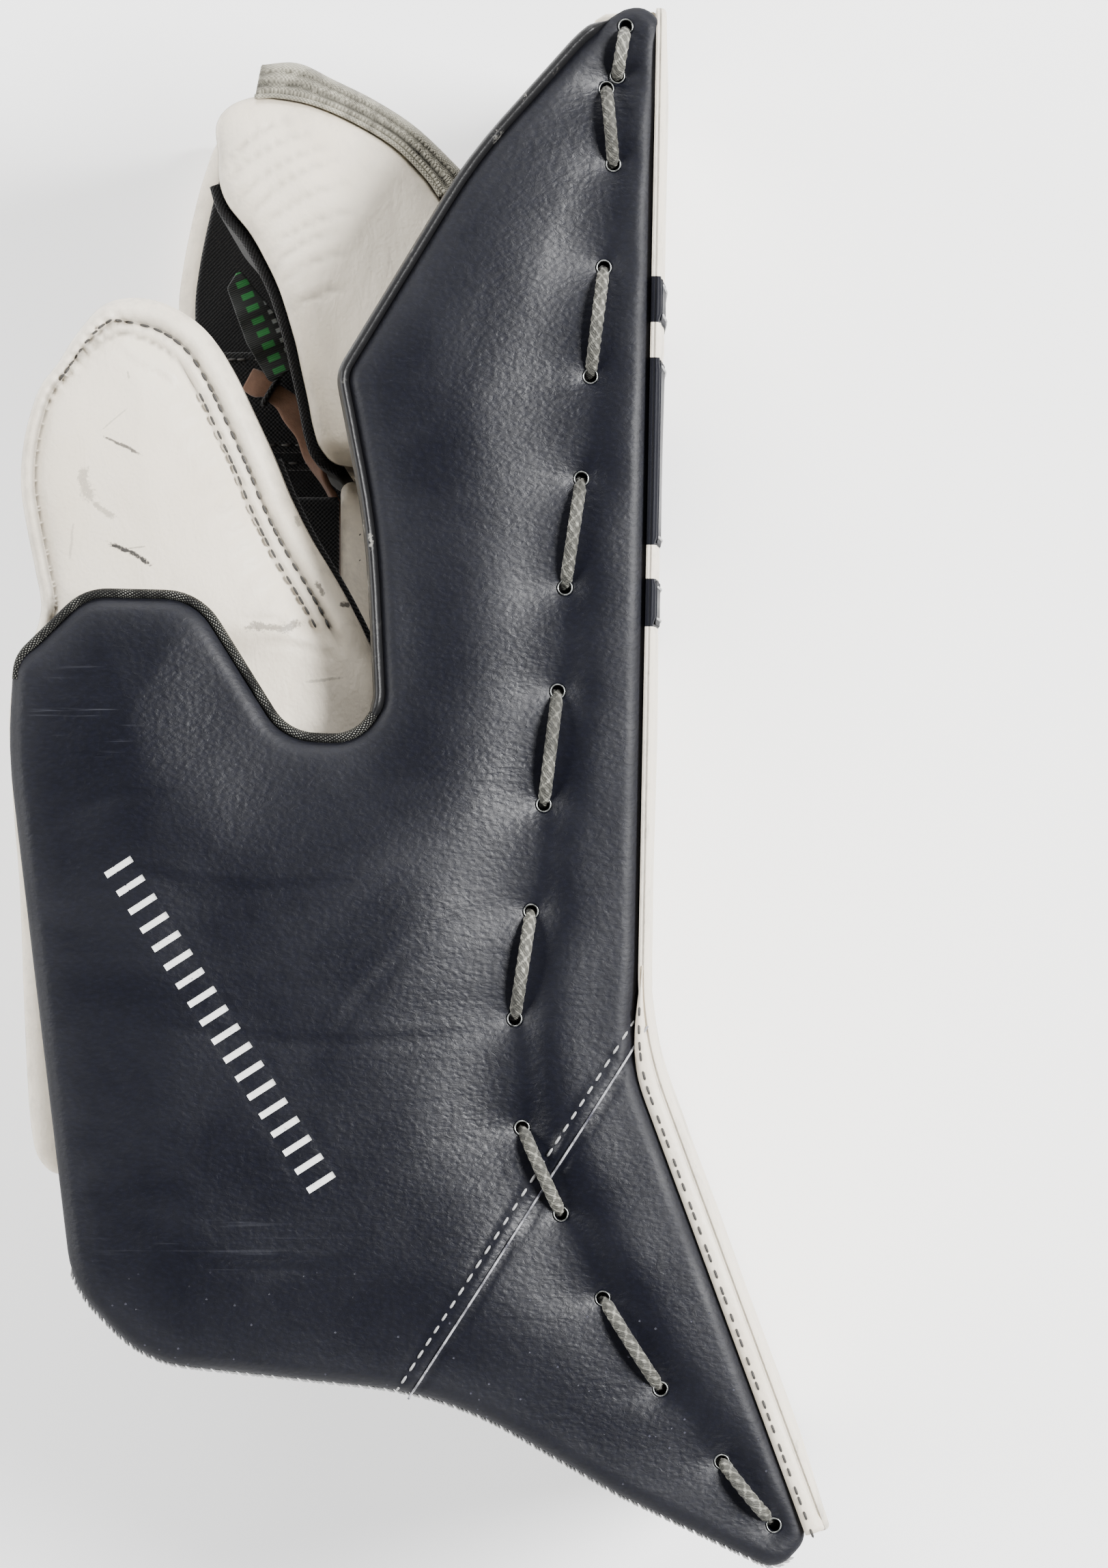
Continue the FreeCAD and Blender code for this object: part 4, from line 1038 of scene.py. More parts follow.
def side_loop():
    """The side panel's padding: the frame's outline drawn in along its cuff side, where the binding lies,
    and behind the toe roll. Gives the padding's outline and the full outline."""
    if "side" in kept_outlines:
        return kept_outlines["side"]
    full = even_path(outline_of("side_edge_wrap"), 1.0, True)
    line = face_place(np.linspace(0, face_length(), 900))[0]
    near = np.linalg.norm(full[:, None] - line[None], axis=2)
    front = (near.min(1) < 9.5) & (full[:, 1] < 182) & (full[:, 1] > -178)
    place, outward = face_place(near.argmin(1) * face_length() / 899)
    back_off = 1.6 + 1.1 * step_up((182 - full[:, 1]) / 40) + 3.3 * toe_share(full[:, 1])
    wanted = place - outward * back_off[:, None]
    full = np.where(front[:, None], wanted, full)
    full = even_path(full, 1.0, True)
    x, y = full[:, 0], full[:, 1]
    bound = ((y > 8) & (x < 47) & (x > -97.0)).astype(float)
    kernel = np.ones(9) / 9
    bound = np.convolve(np.concatenate([bound[-4:], bound, bound[:4]]), kernel, "valid")
    kept_outlines["side"] = full + inward(full) * (1.9 * bound)[:, None], full
    return kept_outlines["side"]


def side_rise(p, d):
    """How far the side panel stands above its plain top: a crown growing away from the rim, a valley along
    the lace, a dent and a pit at each hole, a lip and a groove at the seam, two pressed lines beside the
    bars, and soft creases."""
    sizes = bpy.context.scene.blocker_sizes
    x, y = p[:, 0], p[:, 1]
    t = beside(p, LACE_LINE)
    wide = np.where(t < 0, 21.0 + 9.0 * step_up((y - 40) / 80) * step_up((150 - y) / 40), 7.0)
    valley = bell(t, wide)
    crown = (sizes.side_crown / MM) * (1 + 0.5 * (t < 0)) * step_up(d / 34)
    z = crown * (1 - valley) - (sizes.lace_valley / MM) * 0.42 * valley
    reach = np.hypot((x[:, None] - HOLES[:, 0]) / 9.5, (y[:, None] - HOLES[:, 1]) / 6.0)
    z -= 0.75 * np.exp(-(reach**2)).sum(1)
    r = np.hypot(x[:, None] - HOLES[:, 0], y[:, None] - HOLES[:, 1])
    z -= 0.55 * np.exp(-((r / 3.3) ** 2)).sum(1)
    z -= 4.0 * step_up((1.75 - r.min(1)) / 0.45)
    s = beside(p, SIDE_SEAM)
    fade = step_up((40 - abs(s)) / 36)
    z += 0.42 * step_up((s + 4.1) / 0.9) * (s < 0) * fade
    z -= 0.50 * bell(s - 0.5, 0.8) + 0.25 * bell(s + 4.1, 0.5)
    z += 0.6 * bumps(x, y, 42, 1.3) * step_up(d / 18)
    z += 0.18 * bumps(x, y, 13, 4.1) * step_up(d / 10)
    z += creases(
        x,
        y,
        (
            (-84, -16, -2, -21, -7),
            (-60, -27, -20, -22, -3),
            (-68, -58, 22, -60, -4),
            (-22, -66, 18, -30, 5),
            (-58, -116, -16, -117, -2),
            (-48, -119, -24, -118.5, 1.5),
            (-92, -12, -60, -2, 3),
        ),
        1.5,
        0.28,
    )
    for a, b in (((-75, -17), (-27, -98)), ((-61, -32), (-17, -96))):
        z -= 0.16 * bell(from_line(p, np.array([a, b], float)), 0.45)
    return z


def side_top(p):
    """Height of the side panel's top over places of its plan, in millimetres."""
    d = from_line(p, side_loop()[0], True)
    edge = bpy.context.scene.blocker_sizes.side_edge / MM
    rise = rise_of(d, edge)
    return high("side_main_panel") - edge + edge * rise + side_rise(p, d) * rise


def on_side(line, lift=0.0):
    """A plan line laid on the side panel."""
    line = np.asarray(line, float)
    return np.column_stack([line, side_top(line) + lift])


def hole_rings():
    """Extra points of the side panel's mesh round each lace hole."""
    a = np.linspace(0, 2 * np.pi, 18, endpoint=False)
    rings = [
        HOLES[:, None] + r * np.stack([np.cos(a), np.sin(a)], 1)[None] for r in (0.8, 1.3, 1.5, 1.8, 2.4, 3.4)
    ]
    return np.concatenate(rings).reshape(-1, 2)


def make_side_cover():
    """The side panel: one padded leather cover, with its seam, bindings, stitches and bars."""
    sizes = bpy.context.scene.blocker_sizes
    loop, full = side_loop()
    pad(
        "side_cover",
        loop,
        low("side_inner_skin"),
        high("side_main_panel"),
        sizes.side_edge / MM,
        1.7,
        navy_leather("perforated"),
        "navy_leather",
        ("side_main_panel", "side_finger_panel", "side_foam", "side_inner_skin", "side_stiffener"),
        above=side_rise,
        under_edge=3.0,
        extra=hole_rings(),
        fill=0.85,
    )
    x, y = full[:, 0], full[:, 1]
    top = high("side_main_panel")

    def run_of(keep_point, inset):
        """The longest unbroken run of the outline where the test holds, drawn in by the inset."""
        kept = np.flatnonzero(keep_point)
        breaks = np.flatnonzero(np.diff(kept) > 1)
        if kept[0] == 0 and kept[-1] == len(full) - 1 and len(breaks):
            kept = np.concatenate([kept[breaks[0] + 1 :], kept[: breaks[0] + 1]])
            breaks = np.flatnonzero(np.abs(np.diff(kept)) > 1)
            breaks = breaks[kept[breaks] != len(full) - 1]
        runs = np.split(kept, breaks + 1)
        return (full + inward(full) * inset)[max(runs, key=len)]

    edge = run_of((y > 14) & (x > -22) & (x < 47.5), 1.25)
    path = np.column_stack([edge, np.full(len(edge), top - 3.6)])
    taper = step_up(np.minimum(np.arange(len(path)), np.arange(len(path))[::-1]) / 6) * 0.9 + 0.1
    strip("side_binding", path, UP, oval(3.1, 7.4, 14), worn_binding(), ("side_edge_wrap",),
          size=taper)
    tape_run = run_of((y > 7) & (y < 62) & (x < -10.2) & (x > -98.6) & ((y < 60) | (x > -60)), 1.2)
    path = np.column_stack([tape_run, np.full(len(tape_run), top - 3.9)])
    strip("side_tape", path, UP, oval(2.5, 6.2, 14), tape_cloth())
    foot = run_of((y < -118) & (x < 92), -0.15)
    path = np.column_stack([foot, np.full(len(foot), top - 4.6)])
    stitches("side_foot_stitches", path, UP, 1.25, pale_thread(), lean=0.5)

    seam = SIDE_SEAM[0] + (SIDE_SEAM[1] - SIDE_SEAM[0]) * np.linspace(0.055, 0.925, 90)[:, None]
    across = unit(np.array([SIDE_SEAM[1][1] - SIDE_SEAM[0][1], SIDE_SEAM[0][0] - SIDE_SEAM[1][0]]))
    strip("side_seam_edge", on_side(seam + across * 0.15, 0.42), UP, oval(0.55, 0.5, 8), raw_edge())
    stitches("side_seam_stitches", on_side(seam + across * 3.6, 0.05), UP, 3.9,
             pale_thread())

    make_side_bars()


def make_side_bars():
    """A slanted row of plain printed bars: each is a thin raised block that follows the panel."""
    first, last = np.array([-72.0, -20.5]), np.array([-22.8, -97.2])
    along = unit(last - first)
    over = np.array([-along[1], along[0]])
    count = 18
    u, v = np.linspace(-3.8, 3.8, 9), np.linspace(-0.8, 0.8, 4)
    middle = first + (last - first) * np.linspace(0, 1, count)[:, None]
    plan = middle[:, None, None] + u[None, :, None, None] * over + v[None, None, :, None] * along
    flat = plan.reshape(-1, 2)
    ground = side_top(flat)
    rim = ((abs(u) > 3.8)[:, None] | (abs(v) > 0.75)[None]).astype(float)
    lift = np.broadcast_to(0.20 - 0.10 * rim, (count, 9, 4)).ravel()
    upper = np.column_stack([flat, ground + lift])
    lower = np.column_stack([flat, ground - 0.5])
    points, faces = [], []
    for k in range(count):
        part = slice(k * 36, k * 36 + 36)
        p, f = shell(upper[part].reshape(9, 4, 3), lower[part].reshape(9, 4, 3))
        faces += [g + 72 * k for g in f]
        points.append(p)
    four = np.vstack(faces)
    piece("side_bars", np.vstack(points), [four], painted_bars())


def make_toe_roll():
    """The white roll between the face and the side panel below the bend: a tall rounded profile carried
    along the face's line, growing out of nothing at its upper end, with a row of stitches on top."""
    low_z, high_z = low("toe_edge_roll"), high("toe_edge_roll")
    s = np.linspace(235.0, face_length() - 1.2, 120)
    place, outward = face_place(s)
    grow = 0.06 + 0.94 * toe_share(place[:, 1])
    depth = 1.5 + 2.4 * grow
    plan = place - outward * depth[:, None]
    path = np.column_stack([plan, np.full(len(s), (low_z + high_z) / 2)])
    points, faces, uv = sweep(path, UP, block(5.0, high_z - low_z, 2.3), size=1.0)
    rows = points.reshape(len(s), -1, 3)
    rows[..., :2] = plan[:, None] + (rows[..., :2] - plan[:, None]) * grow[:, None, None]
    made = piece("toe_roll", rows.reshape(-1, 3), faces, white_leather(), uv=uv)
    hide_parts("toe_edge_roll")
    line = np.column_stack([place - outward * (depth + 0.9 * grow)[:, None], np.full(len(s), high_z - 0.12)])
    stitches("toe_roll_stitches", line[8:], UP, 3.7, dark_thread())


# ---------------------------------------------------------------- the board


def stripe_edges():
    """Distances down the face of the stripes' edges, in pairs."""
    lean = np.hypot(FACE_TOP[0] - FACE_BEND[0], FACE_TOP[1] - FACE_BEND[1]) / (FACE_TOP[1] - FACE_BEND[1])
    return [
        ((FACE_TOP[1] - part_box(n)[1].y / MM) * lean, (FACE_TOP[1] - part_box(n)[0].y / MM) * lean)
        for n in ("face_stripe_upper", "face_band", "face_stripe_lower")
    ]


def face_level(p, d):
    """The face's plain rise: a crown that grows away from the rim, and slight unevenness."""
    crown = bpy.context.scene.blocker_sizes.face_crown / MM
    return crown * step_up(d / 26) + 0.22 * bumps(p[:, 0], p[:, 1], 30, 2.0) * step_up(d / 14)


def face_rise(p, d):
    """How far the face stands off its flat line: its plain rise, with grooves at the stripes' seams and a
    seam across the bend."""
    z = face_level(p, d) - 0.6 * bell(p[:, 0] - 243, 1.0)
    for at in np.ravel(stripe_edges()):
        z -= 0.7 * bell(p[:, 0] - at, 0.9)
    return z


def face_loop():
    """The face leather's outline in its own plan, with larger corners on the little finger's side."""
    return rounded_box(0, 0, face_length(), FACE_WIDTH, (18.0, 18.0, 7.5, 12.5))


def core_loop():
    """The outline of the board's padded back, in the same plan."""
    return rounded_box(0.6, 0.6, face_length() - 0.8, CORE_WIDTH, (18, 18, 3, 3))


def make_board():
    """The board: white face leather with navy stripes, and one padded cover for its back and edges."""
    pad(
        "face_leather",
        face_loop(),
        -2.6,
        0.0,
        FACE_EDGE,
        2.6,
        face_finish(),
        "white_leather",
        ("board_face_skin",),
        above=face_rise,
        under_edge=0.3,
        change=bent,
        fill=0.9,
    )
    for name, pair in zip(("face_stripe_upper", "face_band", "face_stripe_lower"), stripe_edges()):
        loop = rounded_box(pair[0] + 0.5, 1.6, pair[1] - 0.5, FACE_WIDTH - 1.6, (0.6,) * 4)
        outer = even_path(face_loop(), 1.5, True)

        def follow_points(points, outer=outer):
            """Lays the stripe on the face: both of its sides follow the face's own rise."""
            off = from_line(points[:, :2], outer, True)
            lifted = points.copy()
            lifted[:, 2] += face_level(points, off) + FACE_EDGE * (rise_of(off, FACE_EDGE) - 1)
            return bent(lifted)

        pad(
            name + "_leather",
            loop,
            -0.4,
            0.25,
            0.30,
            2.2,
            navy_leather("stripe"),
            "navy_leather",
            (name,),
            change=follow_points,
            fill=None,
        )
        for at, sign in ((pair[0], 1), (pair[1], -1)):
            w = np.linspace(4, FACE_WIDTH - 3, 160)
            flat = np.column_stack([np.full(160, at + sign * 2.0), w])
            level = face_level(flat, from_line(flat, outer, True)) + 0.25
            path = bent(np.column_stack([flat, level]))
            normal = np.column_stack([face_place(flat[:, 0])[1], np.zeros(160)])
            stitches(f"{name}_stitches_{'top' if sign > 0 else 'foot'}", path, normal, 4.2,
                     pale_thread())

    long = face_length()

    def thickness(s):
        """Depth of the board's back: 15 at the top, 29 at the bend and 18 at the tip, eased between."""
        return np.interp(s, [0, 60, 180, 251, 300, long], [14.6, 15.6, 22.5, 28.6, 25.4, 17.6])

    def deepen(points):
        """Turns the pad's heights into depths behind the face that follow the board's thickness."""
        deep = points.copy()
        share = points[:, 2] / 13.0
        deep[:, 2] = -(1.6 + share * (thickness(points[:, 0]) - 1.6))
        return bent(deep)

    def back(p, d):
        """The back's height: sewn channels across the board and a groove round its edge."""
        z = 0.5 * step_up(d / 20) - 0.5 * bell(d - 9.5, 0.9)
        for at in (62, 124, 186, 262, 320):
            z -= 0.45 * bell(p[:, 0] - at, 1.3) * step_up((d - 9) / 3)
        return z + 0.12 * bumps(p[:, 0], p[:, 1], 22, 0.6) * step_up(d / 8)

    pad(
        "board_cover",
        core_loop(),
        0.0,
        13.0,
        3.6,
        3.2,
        navy_leather(),
        "navy_leather",
        ("board_front_foam", "board_back_foam", "board_stiffener", "board_back_skin", "board_edge_skin"),
        above=back,
        under_edge=0.6,
        change=deepen,
        fill=0.9,
    )
    ring = even_path(core_loop(), 2.0, True)
    path = bent(np.column_stack([ring, np.full(len(ring), -1.5)]))
    normal = np.column_stack([face_place(ring[:, 0])[1], np.zeros(len(ring))])
    strip("board_piping", path, normal, oval(2.6, 2.6, 10), worn_binding(), closed=True)
    inner = ring + inward(ring) * 7.2
    depth = -(1.6 + (13.2 / 13.0) * (thickness(inner[:, 0]) - 1.6))
    path = bent(np.column_stack([inner, depth]))
    row = np.column_stack([-face_place(inner[:, 0])[1], np.zeros(len(inner))])
    stitches("board_back_stitches", path, row, 4.4, pale_thread())
    pad(
        "lacing_flange_leather",
        outline_of("lacing_flange"),
        low("lacing_flange"),
        high("lacing_flange"),
        0.85,
        4.0,
        white_leather(),
        "white_leather",
        ("lacing_flange",),
        fill=None,
    )


# ---------------------------------------------------------------- lace, rings and knots


def lace_points():
    """The lace's route, in metres: out of the flange, up a hole, over the stitch and down the next."""
    low_z, high_z, start = 0.1812, 0.2050, 0.1830
    route = []
    for (x1, y1), (x2, y2) in LACE_HOLES:
        route += [
            (x1 * MM, y1 * MM, low_z),
            (x1 * MM, y1 * MM, high_z),
            (x2 * MM, y2 * MM, high_z),
            (x2 * MM, y2 * MM, low_z),
        ]
    route[0] = (*route[0][:2], start)
    route[-1] = (*route[-1][:2], start)
    return route


def spline_points(name, route):
    """Points read along a smooth spline through the route's control points, in metres."""
    curve = bpy.data.curves.new(name, "CURVE")
    curve.dimensions = "3D"
    curve.resolution_u = 24
    spline = curve.splines.new("NURBS")
    spline.points.add(len(route) - 1)
    spline.points.foreach_set("co", np.column_stack([route, np.ones(len(route))]).ravel())
    spline.order_u = 3
    spline.use_endpoint_u = True
    holder = bpy.data.objects.new(name, curve)
    bpy.context.scene.collection.objects.link(holder)
    bpy.context.view_layer.update()
    mesh = bpy.data.meshes.new_from_object(holder)
    points = np.zeros(len(mesh.vertices) * 3)
    mesh.vertices.foreach_get("co", points)
    bpy.data.objects.remove(holder)
    bpy.data.curves.remove(curve)
    bpy.data.meshes.remove(mesh)
    return points.reshape(-1, 3)


def carried_frames(path):
    """Two directions square to a path at each point, turned as little as possible from one to the next."""
    ahead = unit(np.gradient(path, axis=0))
    side = np.zeros_like(path)
    side[0] = unit(np.cross(ahead[0], (0.31, 0.87, 0.39)))
    for k in range(1, len(path)):
        side[k] = unit(side[k - 1] - ahead[k] * (side[k - 1] @ ahead[k]))
    return side, unit(np.cross(ahead, side))


def braided(name, path, radius, material, body=SHELL, pitch=5.2, plaits=4, around=20):
    """A braided cord: a tube whose radius swells where one of two families of yarns, winding opposite
    ways, lies on top: the families take turns in a checkered order."""
    s = run_length(path)
    side, up = carried_frames(path)
    a = np.linspace(0, 2 * np.pi, around, endpoint=False)
    u = plaits * a[None] + 2 * np.pi * s[:, None] / pitch * 2
    v = plaits * a[None] - 2 * np.pi * s[:, None] / pitch * 2
    swell = 0.5 * (abs(np.cos(u / 2)) * (np.cos(v / 2) > 0) + abs(np.cos(v / 2)) * (np.cos(v / 2) <= 0))
    swell = 0.5 * swell + 0.5 * np.maximum(np.cos(u / 2) ** 2, np.cos(v / 2) ** 2) ** 1.5
    r = radius * (0.80 + 0.26 * swell)
    points = (
        path[:, None]
        + (r * np.cos(a))[..., None] * side[:, None]
        + (r * np.sin(a))[..., None] * up[:, None]
    )
    rows = len(path)
    faces = [
        grid_faces(rows, around, True),
        np.arange(around)[None],
        (rows - 1) * around + np.arange(around)[None, ::-1],
    ]
    uv = np.stack(np.broadcast_arrays(s[:, None], a[None] * radius), -1).reshape(-1, 2) * MM
    return piece(name, points.reshape(-1, 3), faces, material, body, uv, {"yarn": swell.ravel()})


def make_lace():
    """The lace, its knots and the rings of its holes."""
    path = even_path(spline_points("lace_line", lace_points()) / MM, 0.42)
    made = braided("lace_braid", path, 1.62, lace_finish())
    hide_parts("side_lace")
    t = np.linspace(0, 2 * np.pi, 90, endpoint=False)
    for name, (x, y) in (("lace_knot_top", HOLES[0]), ("lace_knot_tip", HOLES[-1])):
        knot = np.stack(
            [
                x + 0.62 * (np.sin(t) + 2 * np.sin(2 * t)),
                y + 0.62 * (np.cos(t) - 2 * np.cos(2 * t)),
                181.2 - 0.75 * np.sin(3 * t),
            ],
            1,
        )
        points, faces, uv = sweep(knot, UP, oval(1.9, 1.9, 12), closed=True)
        made = piece(name, points, faces, lace_finish(), uv=uv)
        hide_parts("lace_knots")

    a = np.linspace(0, 2 * np.pi, 28, endpoint=False)
    b = np.linspace(0, 2 * np.pi, 10, endpoint=False)
    ground = side_top(HOLES + np.array([2.2, 0.0]))
    big, small, tall = 1.72, 0.20, 0.28
    ring = np.stack(
        [
            (big + small * np.cos(b))[None] * np.cos(a)[:, None],
            (big + small * np.cos(b))[None] * np.sin(a)[:, None],
            np.broadcast_to(tall * np.sin(b)[None], (28, 10)),
        ],
        -1,
    ).reshape(-1, 3)
    points = np.column_stack([HOLES, ground + 0.05])[:, None] + ring[None]
    shift = (np.arange(len(HOLES)) * 280)[:, None, None]
    faces = (grid_faces(28, 10, True, True)[None] + shift).reshape(-1, 4)
    made = piece("lace_rings", points.reshape(-1, 3), [faces], ring_metal())
    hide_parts("lace_eyelets")


# ---------------------------------------------------------------- thumb cuff and guard

THUMB_LOOP = [
    (-36, -62), (-22, -30), (-10, 2), (-8, 22), (-11.5, 33), (-16.6, 43.7), (-21, 51.6), (-26.8, 61.3),
    (-31.7, 71.1), (-35.6, 80.7), (-40.5, 91.4), (-46.3, 103.2), (-52.2, 111.9), (-60, 117.7),
    (-68.7, 120.3), (-77.5, 118.8), (-84.2, 111.9), (-89.2, 104.2), (-94.1, 97.3), (-97.5, 85.6),
    (-98.4, 74), (-96.9, 63.2), (-94.8, 52.6), (-93.4, 43.5), (-95.6, 35), (-99.6, 27), (-101.3, 16),
    (-100.3, -6), (-98.7, -26.1), (-97.6, -55.6), (-96, -84), (-93, -94.5), (-85, -97.5), (-60, -96.5),
    (-47, -84),
]


CUFF_FOLDS = (
    (-74, 108, -54, 99, -3),
    (-66, 104, -50, 92, -2),
    (-44, 40, -22, 36, 1.5),
    (-40, 34, -20, 30, 2),
)


def cuff_widths(p):
    """Widths of the cuff's rolled edge and of the raised band beside it, wider on the hand's side."""
    share = step_up((p[:, 0] + 88) / 22)
    return 3.2 + 3.6 * share, 0.4 + 3.0 * share


def cuff_share(p):
    """1 on the cuff, fading to 0 on the guard below it."""
    return step_up((p[:, 1] - 30) / 10)


def cuff_rise(p, d):
    """Height of the cuff's top: a roll along the rim, a seam, a low raised band, a second seam, and the
    crowned middle; plain and crowned on the guard. Pleats cross the roll at its upper corner, and soft
    folds lie along the inner seam."""
    x, y = p[:, 0], p[:, 1]
    roll, band = cuff_widths(p)
    on = cuff_share(p)
    half = roll / 2
    arch = np.sqrt(np.clip(1 - ((d - half) / half) ** 2, 0, 1))
    rolled = -2.6 + 3.6 * arch
    shelf = -2.0 + 1.7 * np.sqrt(np.clip(1 - ((d - roll - band / 2) / (band / 2 + 0.01)) ** 2, 0, 1))
    past = np.maximum(d - roll - band, 0)
    body = -2.3 + 4.6 * (1 - np.exp(-past / 2.8)) + 2.6 * step_up(past / 24)
    shaped = np.where(d < roll, rolled, np.where(d < roll + band, shelf, body))
    plain = 1.6 * step_up(d / 22) - 0.2
    z = shaped * on + plain * (1 - on)
    s = x * 0.72 + y * 0.69
    corner = np.exp(-(((x + 84) / 15) ** 2)) * step_up((y - 88) / 14)
    z += on * corner * 0.8 * np.sin(s * 2.1 + 0.7 * np.sin(s * 0.9)) * bell(d - roll, 2.6)
    folds = np.sin(y * 0.95 - x * 0.62 + 1.2 * np.sin(y * 0.21))
    z += on * 0.5 * folds * bell(past - 4.5, 3.6) * (past > 0) * step_up((x + 66) / 16)
    z += 0.45 * bumps(x, y, 15, 2.2) * step_up(d / 14) + 0.10 * bumps(x, y, 4.0, 3.1) * step_up(d / 12)
    return z + creases(x, y, CUFF_FOLDS, 1.2, 0.6)


def cuff_top(p):
    """Height of the thumb cuff's top over places of its plan."""
    loop = even_path(smooth_line(THUMB_LOOP, True), 0.8, True)
    d = from_line(p, loop, True)
    edge = bpy.context.scene.blocker_sizes.cuff_edge / MM
    rise = rise_of(d, edge)
    return high("thumb_cuff_pad") - edge + edge * rise + cuff_rise(p, d) * rise


def cuff_run(offset_of, first, last):
    """A plan line that keeps a distance inside the cuff's rim, between two ends of the outline, where the
    outline is numbered from its lowest point on the hand's side."""
    loop = even_path(smooth_line(THUMB_LOOP, True), 0.8, True)
    line = loop + inward(loop) * offset_of(loop)[:, None]
    start, stop = (int(len(loop) * share) for share in (first, last))
    return line[start:stop]


def make_thumb_cover():
    """Thumb guard and thumb cuff under one leather cover."""
    sizes = bpy.context.scene.blocker_sizes

    def seams(p, d):
        """Dirt in the two seams beside the raised band."""
        roll, band = cuff_widths(p)
        on = cuff_share(p)
        return {"seam": on * np.maximum(bell(d - roll, 0.55), 0.8 * bell(d - roll - band, 0.5)) * 0.8}

    made = pad(
        "thumb_cover",
        smooth_line(THUMB_LOOP, True),
        low("thumb_cuff_pad"),
        high("thumb_cuff_pad"),
        sizes.cuff_edge / MM,
        1.35,
        white_leather(True),
        "white_leather",
        ("thumb_guard", "thumb_cuff_pad", "thumb_cuff_roll"),
        body=None,
        above=cuff_rise,
        under_edge=6.0,
        marks_of=seams,
        extra=np.vstack([
            cuff_run(lambda p: cuff_widths(p)[0] + off, 0.13, 0.62) for off in (-0.35, 0.1, 0.5)
        ]),
        fill=0.85,
    )
    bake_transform(made)
    for name, extra_in, share, lift, sink, last in (
        ("outer", 0.15, 0.0, 0.42, 0.15, 0.47),
        ("inner", -0.30, 1.0, 0.80, 0.12, 0.345),
    ):
        line = cuff_run(lambda p: cuff_widths(p)[0] + share * cuff_widths(p)[1] + extra_in, 0.10, last)
        line = line[line[:, 1] > 37.5]
        path = np.column_stack([line, cuff_top(line) + lift])
        row = stitches(f"thumb_cuff_stitches_{name}", path, UP, 3.3, dark_thread(), None,
                       sink)
        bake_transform(row)
    line = cuff_run(lambda p: np.full(len(p), 0.3), 0.19, 0.30)
    path = np.column_stack([line, np.full(len(line), low("thumb_cuff_roll") + 1.5)])
    strip("thumb_cuff_trim", path, UP, block(3.4, 2.6, 1.0), cloth("ribbed_trim", "lining", 1.3, 0.2),
          body="thumb_cuff")
    pad(
        "thumb_guard_tie_pad",
        outline_of("thumb_guard_tie"),
        low("thumb_guard_tie"),
        high("thumb_guard_tie"),
        1.2,
        2.5,
        webbing(),
        "black_webbing",
        ("thumb_guard_tie",),
        fill=None,
    )


# ---------------------------------------------------------------- little finger's side

PINKY_LOOP = [
    (-4, 56), (-3.4, 90), (-3.6, 130), (-6, 150), (-14, 163), (-28, 170.5), (-42, 174), (-52, 178.4),
    (-58.5, 177.5), (-62.6, 168), (-65.8, 156), (-68.6, 142), (-69.8, 130), (-69, 110), (-67.6, 90),
    (-66, 70), (-65, 54), (-50, 52.5), (-20, 52.5),
]


def make_pinky_side():
    """Little finger's guard in two layers, and its cuff with a knitted lining on the hand's side."""
    for name, node, material, slot_name in (
        ("pinky_guard_cover", "pinky_guard_outer", white_leather(), "white_leather"),
        ("pinky_guard_inner_cover", "pinky_guard_inner", navy_leather(), "navy_leather"),
    ):

        def rise(p, d):
            """A crown with a groove round it, and slight unevenness."""
            z = 0.9 * step_up(d / 25) - 0.5 * bell(d - 11, 0.9)
            return z + 0.25 * bumps(p[:, 0], p[:, 1], 17, 1.1) * step_up(d / 12)

        pad(name, outline_of(node), low(node), high(node) - 0.9, 7.5, 2.2, material, slot_name, (node,),
            above=rise, fill=0.85)

    def rise(p, d):
        """A groove round the cuff, and slight unevenness."""
        return -0.6 * bell(d - 7, 0.8) + 0.2 * bumps(p[:, 0], p[:, 1], 14, 3.3) * step_up(d / 12)

    made = pad(
        "pinky_cuff_cover",
        smooth_line(PINKY_LOOP, True),
        low("pinky_cuff_pad"),
        high("pinky_cuff_pad"),
        6.0,
        2.0,
        white_leather(),
        "white_leather",
        ("pinky_cuff_pad",),
        body=None,
        above=rise,
        fill=0.8,
    )
    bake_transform(made)
    loop = smooth_line(PINKY_LOOP, True)
    loop = loop + inward(loop) * (2.4 + 2.6 * step_up((-40 - loop[:, 0]) / 20))[:, None]
    made = pad(
        "pinky_cuff_lining",
        loop,
        low("pinky_cuff_liner") - 0.6,
        high("pinky_cuff_liner"),
        1.2,
        2.4,
        knit_lining(),
        "black_lining",
        ("pinky_cuff_liner",),
        body=None,
        above=lambda p, d: 0.3 * bumps(p[:, 0], p[:, 1], 9, 0.4),
        fill=None,
    )
    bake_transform(made)


# ---------------------------------------------------------------- wrist pad and what lies in the opening

WRIST_LEFT = [
    (-51.0, 165.5), (-50.6, 158), (-50.4, 151.7), (-48.2, 145.4), (-42.7, 138.4), (-38.6, 131.2),
    (-35, 123.4), (-31.4, 111.6), (-29.9, 104.9), (-28, 96.2), (-26.5, 88.7), (-24.3, 83.2), (-18.8, 79.6),
]
WRIST_TOP = [
    (5.5, 147.1), (1.9, 152.2), (-5.8, 159.8), (-16, 166), (-26.3, 170.4), (-35.5, 172.2), (-41.2, 172.5),
    (-47.5, 170.2),
]
WRIST_HIDDEN = [(-2, 79.4), (20, 79.8), (35, 81.5), (39.2, 92), (36.7, 102.8), (28.2, 116.5), (17, 133)]
TAPE_OUTER = [
    (30, 131), (20.5, 143), (9.6, 154.7), (-0.7, 164.5), (-10.9, 171.2), (-21.1, 176.3), (-30.4, 180.6),
    (-39.6, 180.2),
]
TAPE_INNER = [(24.5, 126), (16, 136.5), *WRIST_TOP[:6], (-41.2, 172.0)]
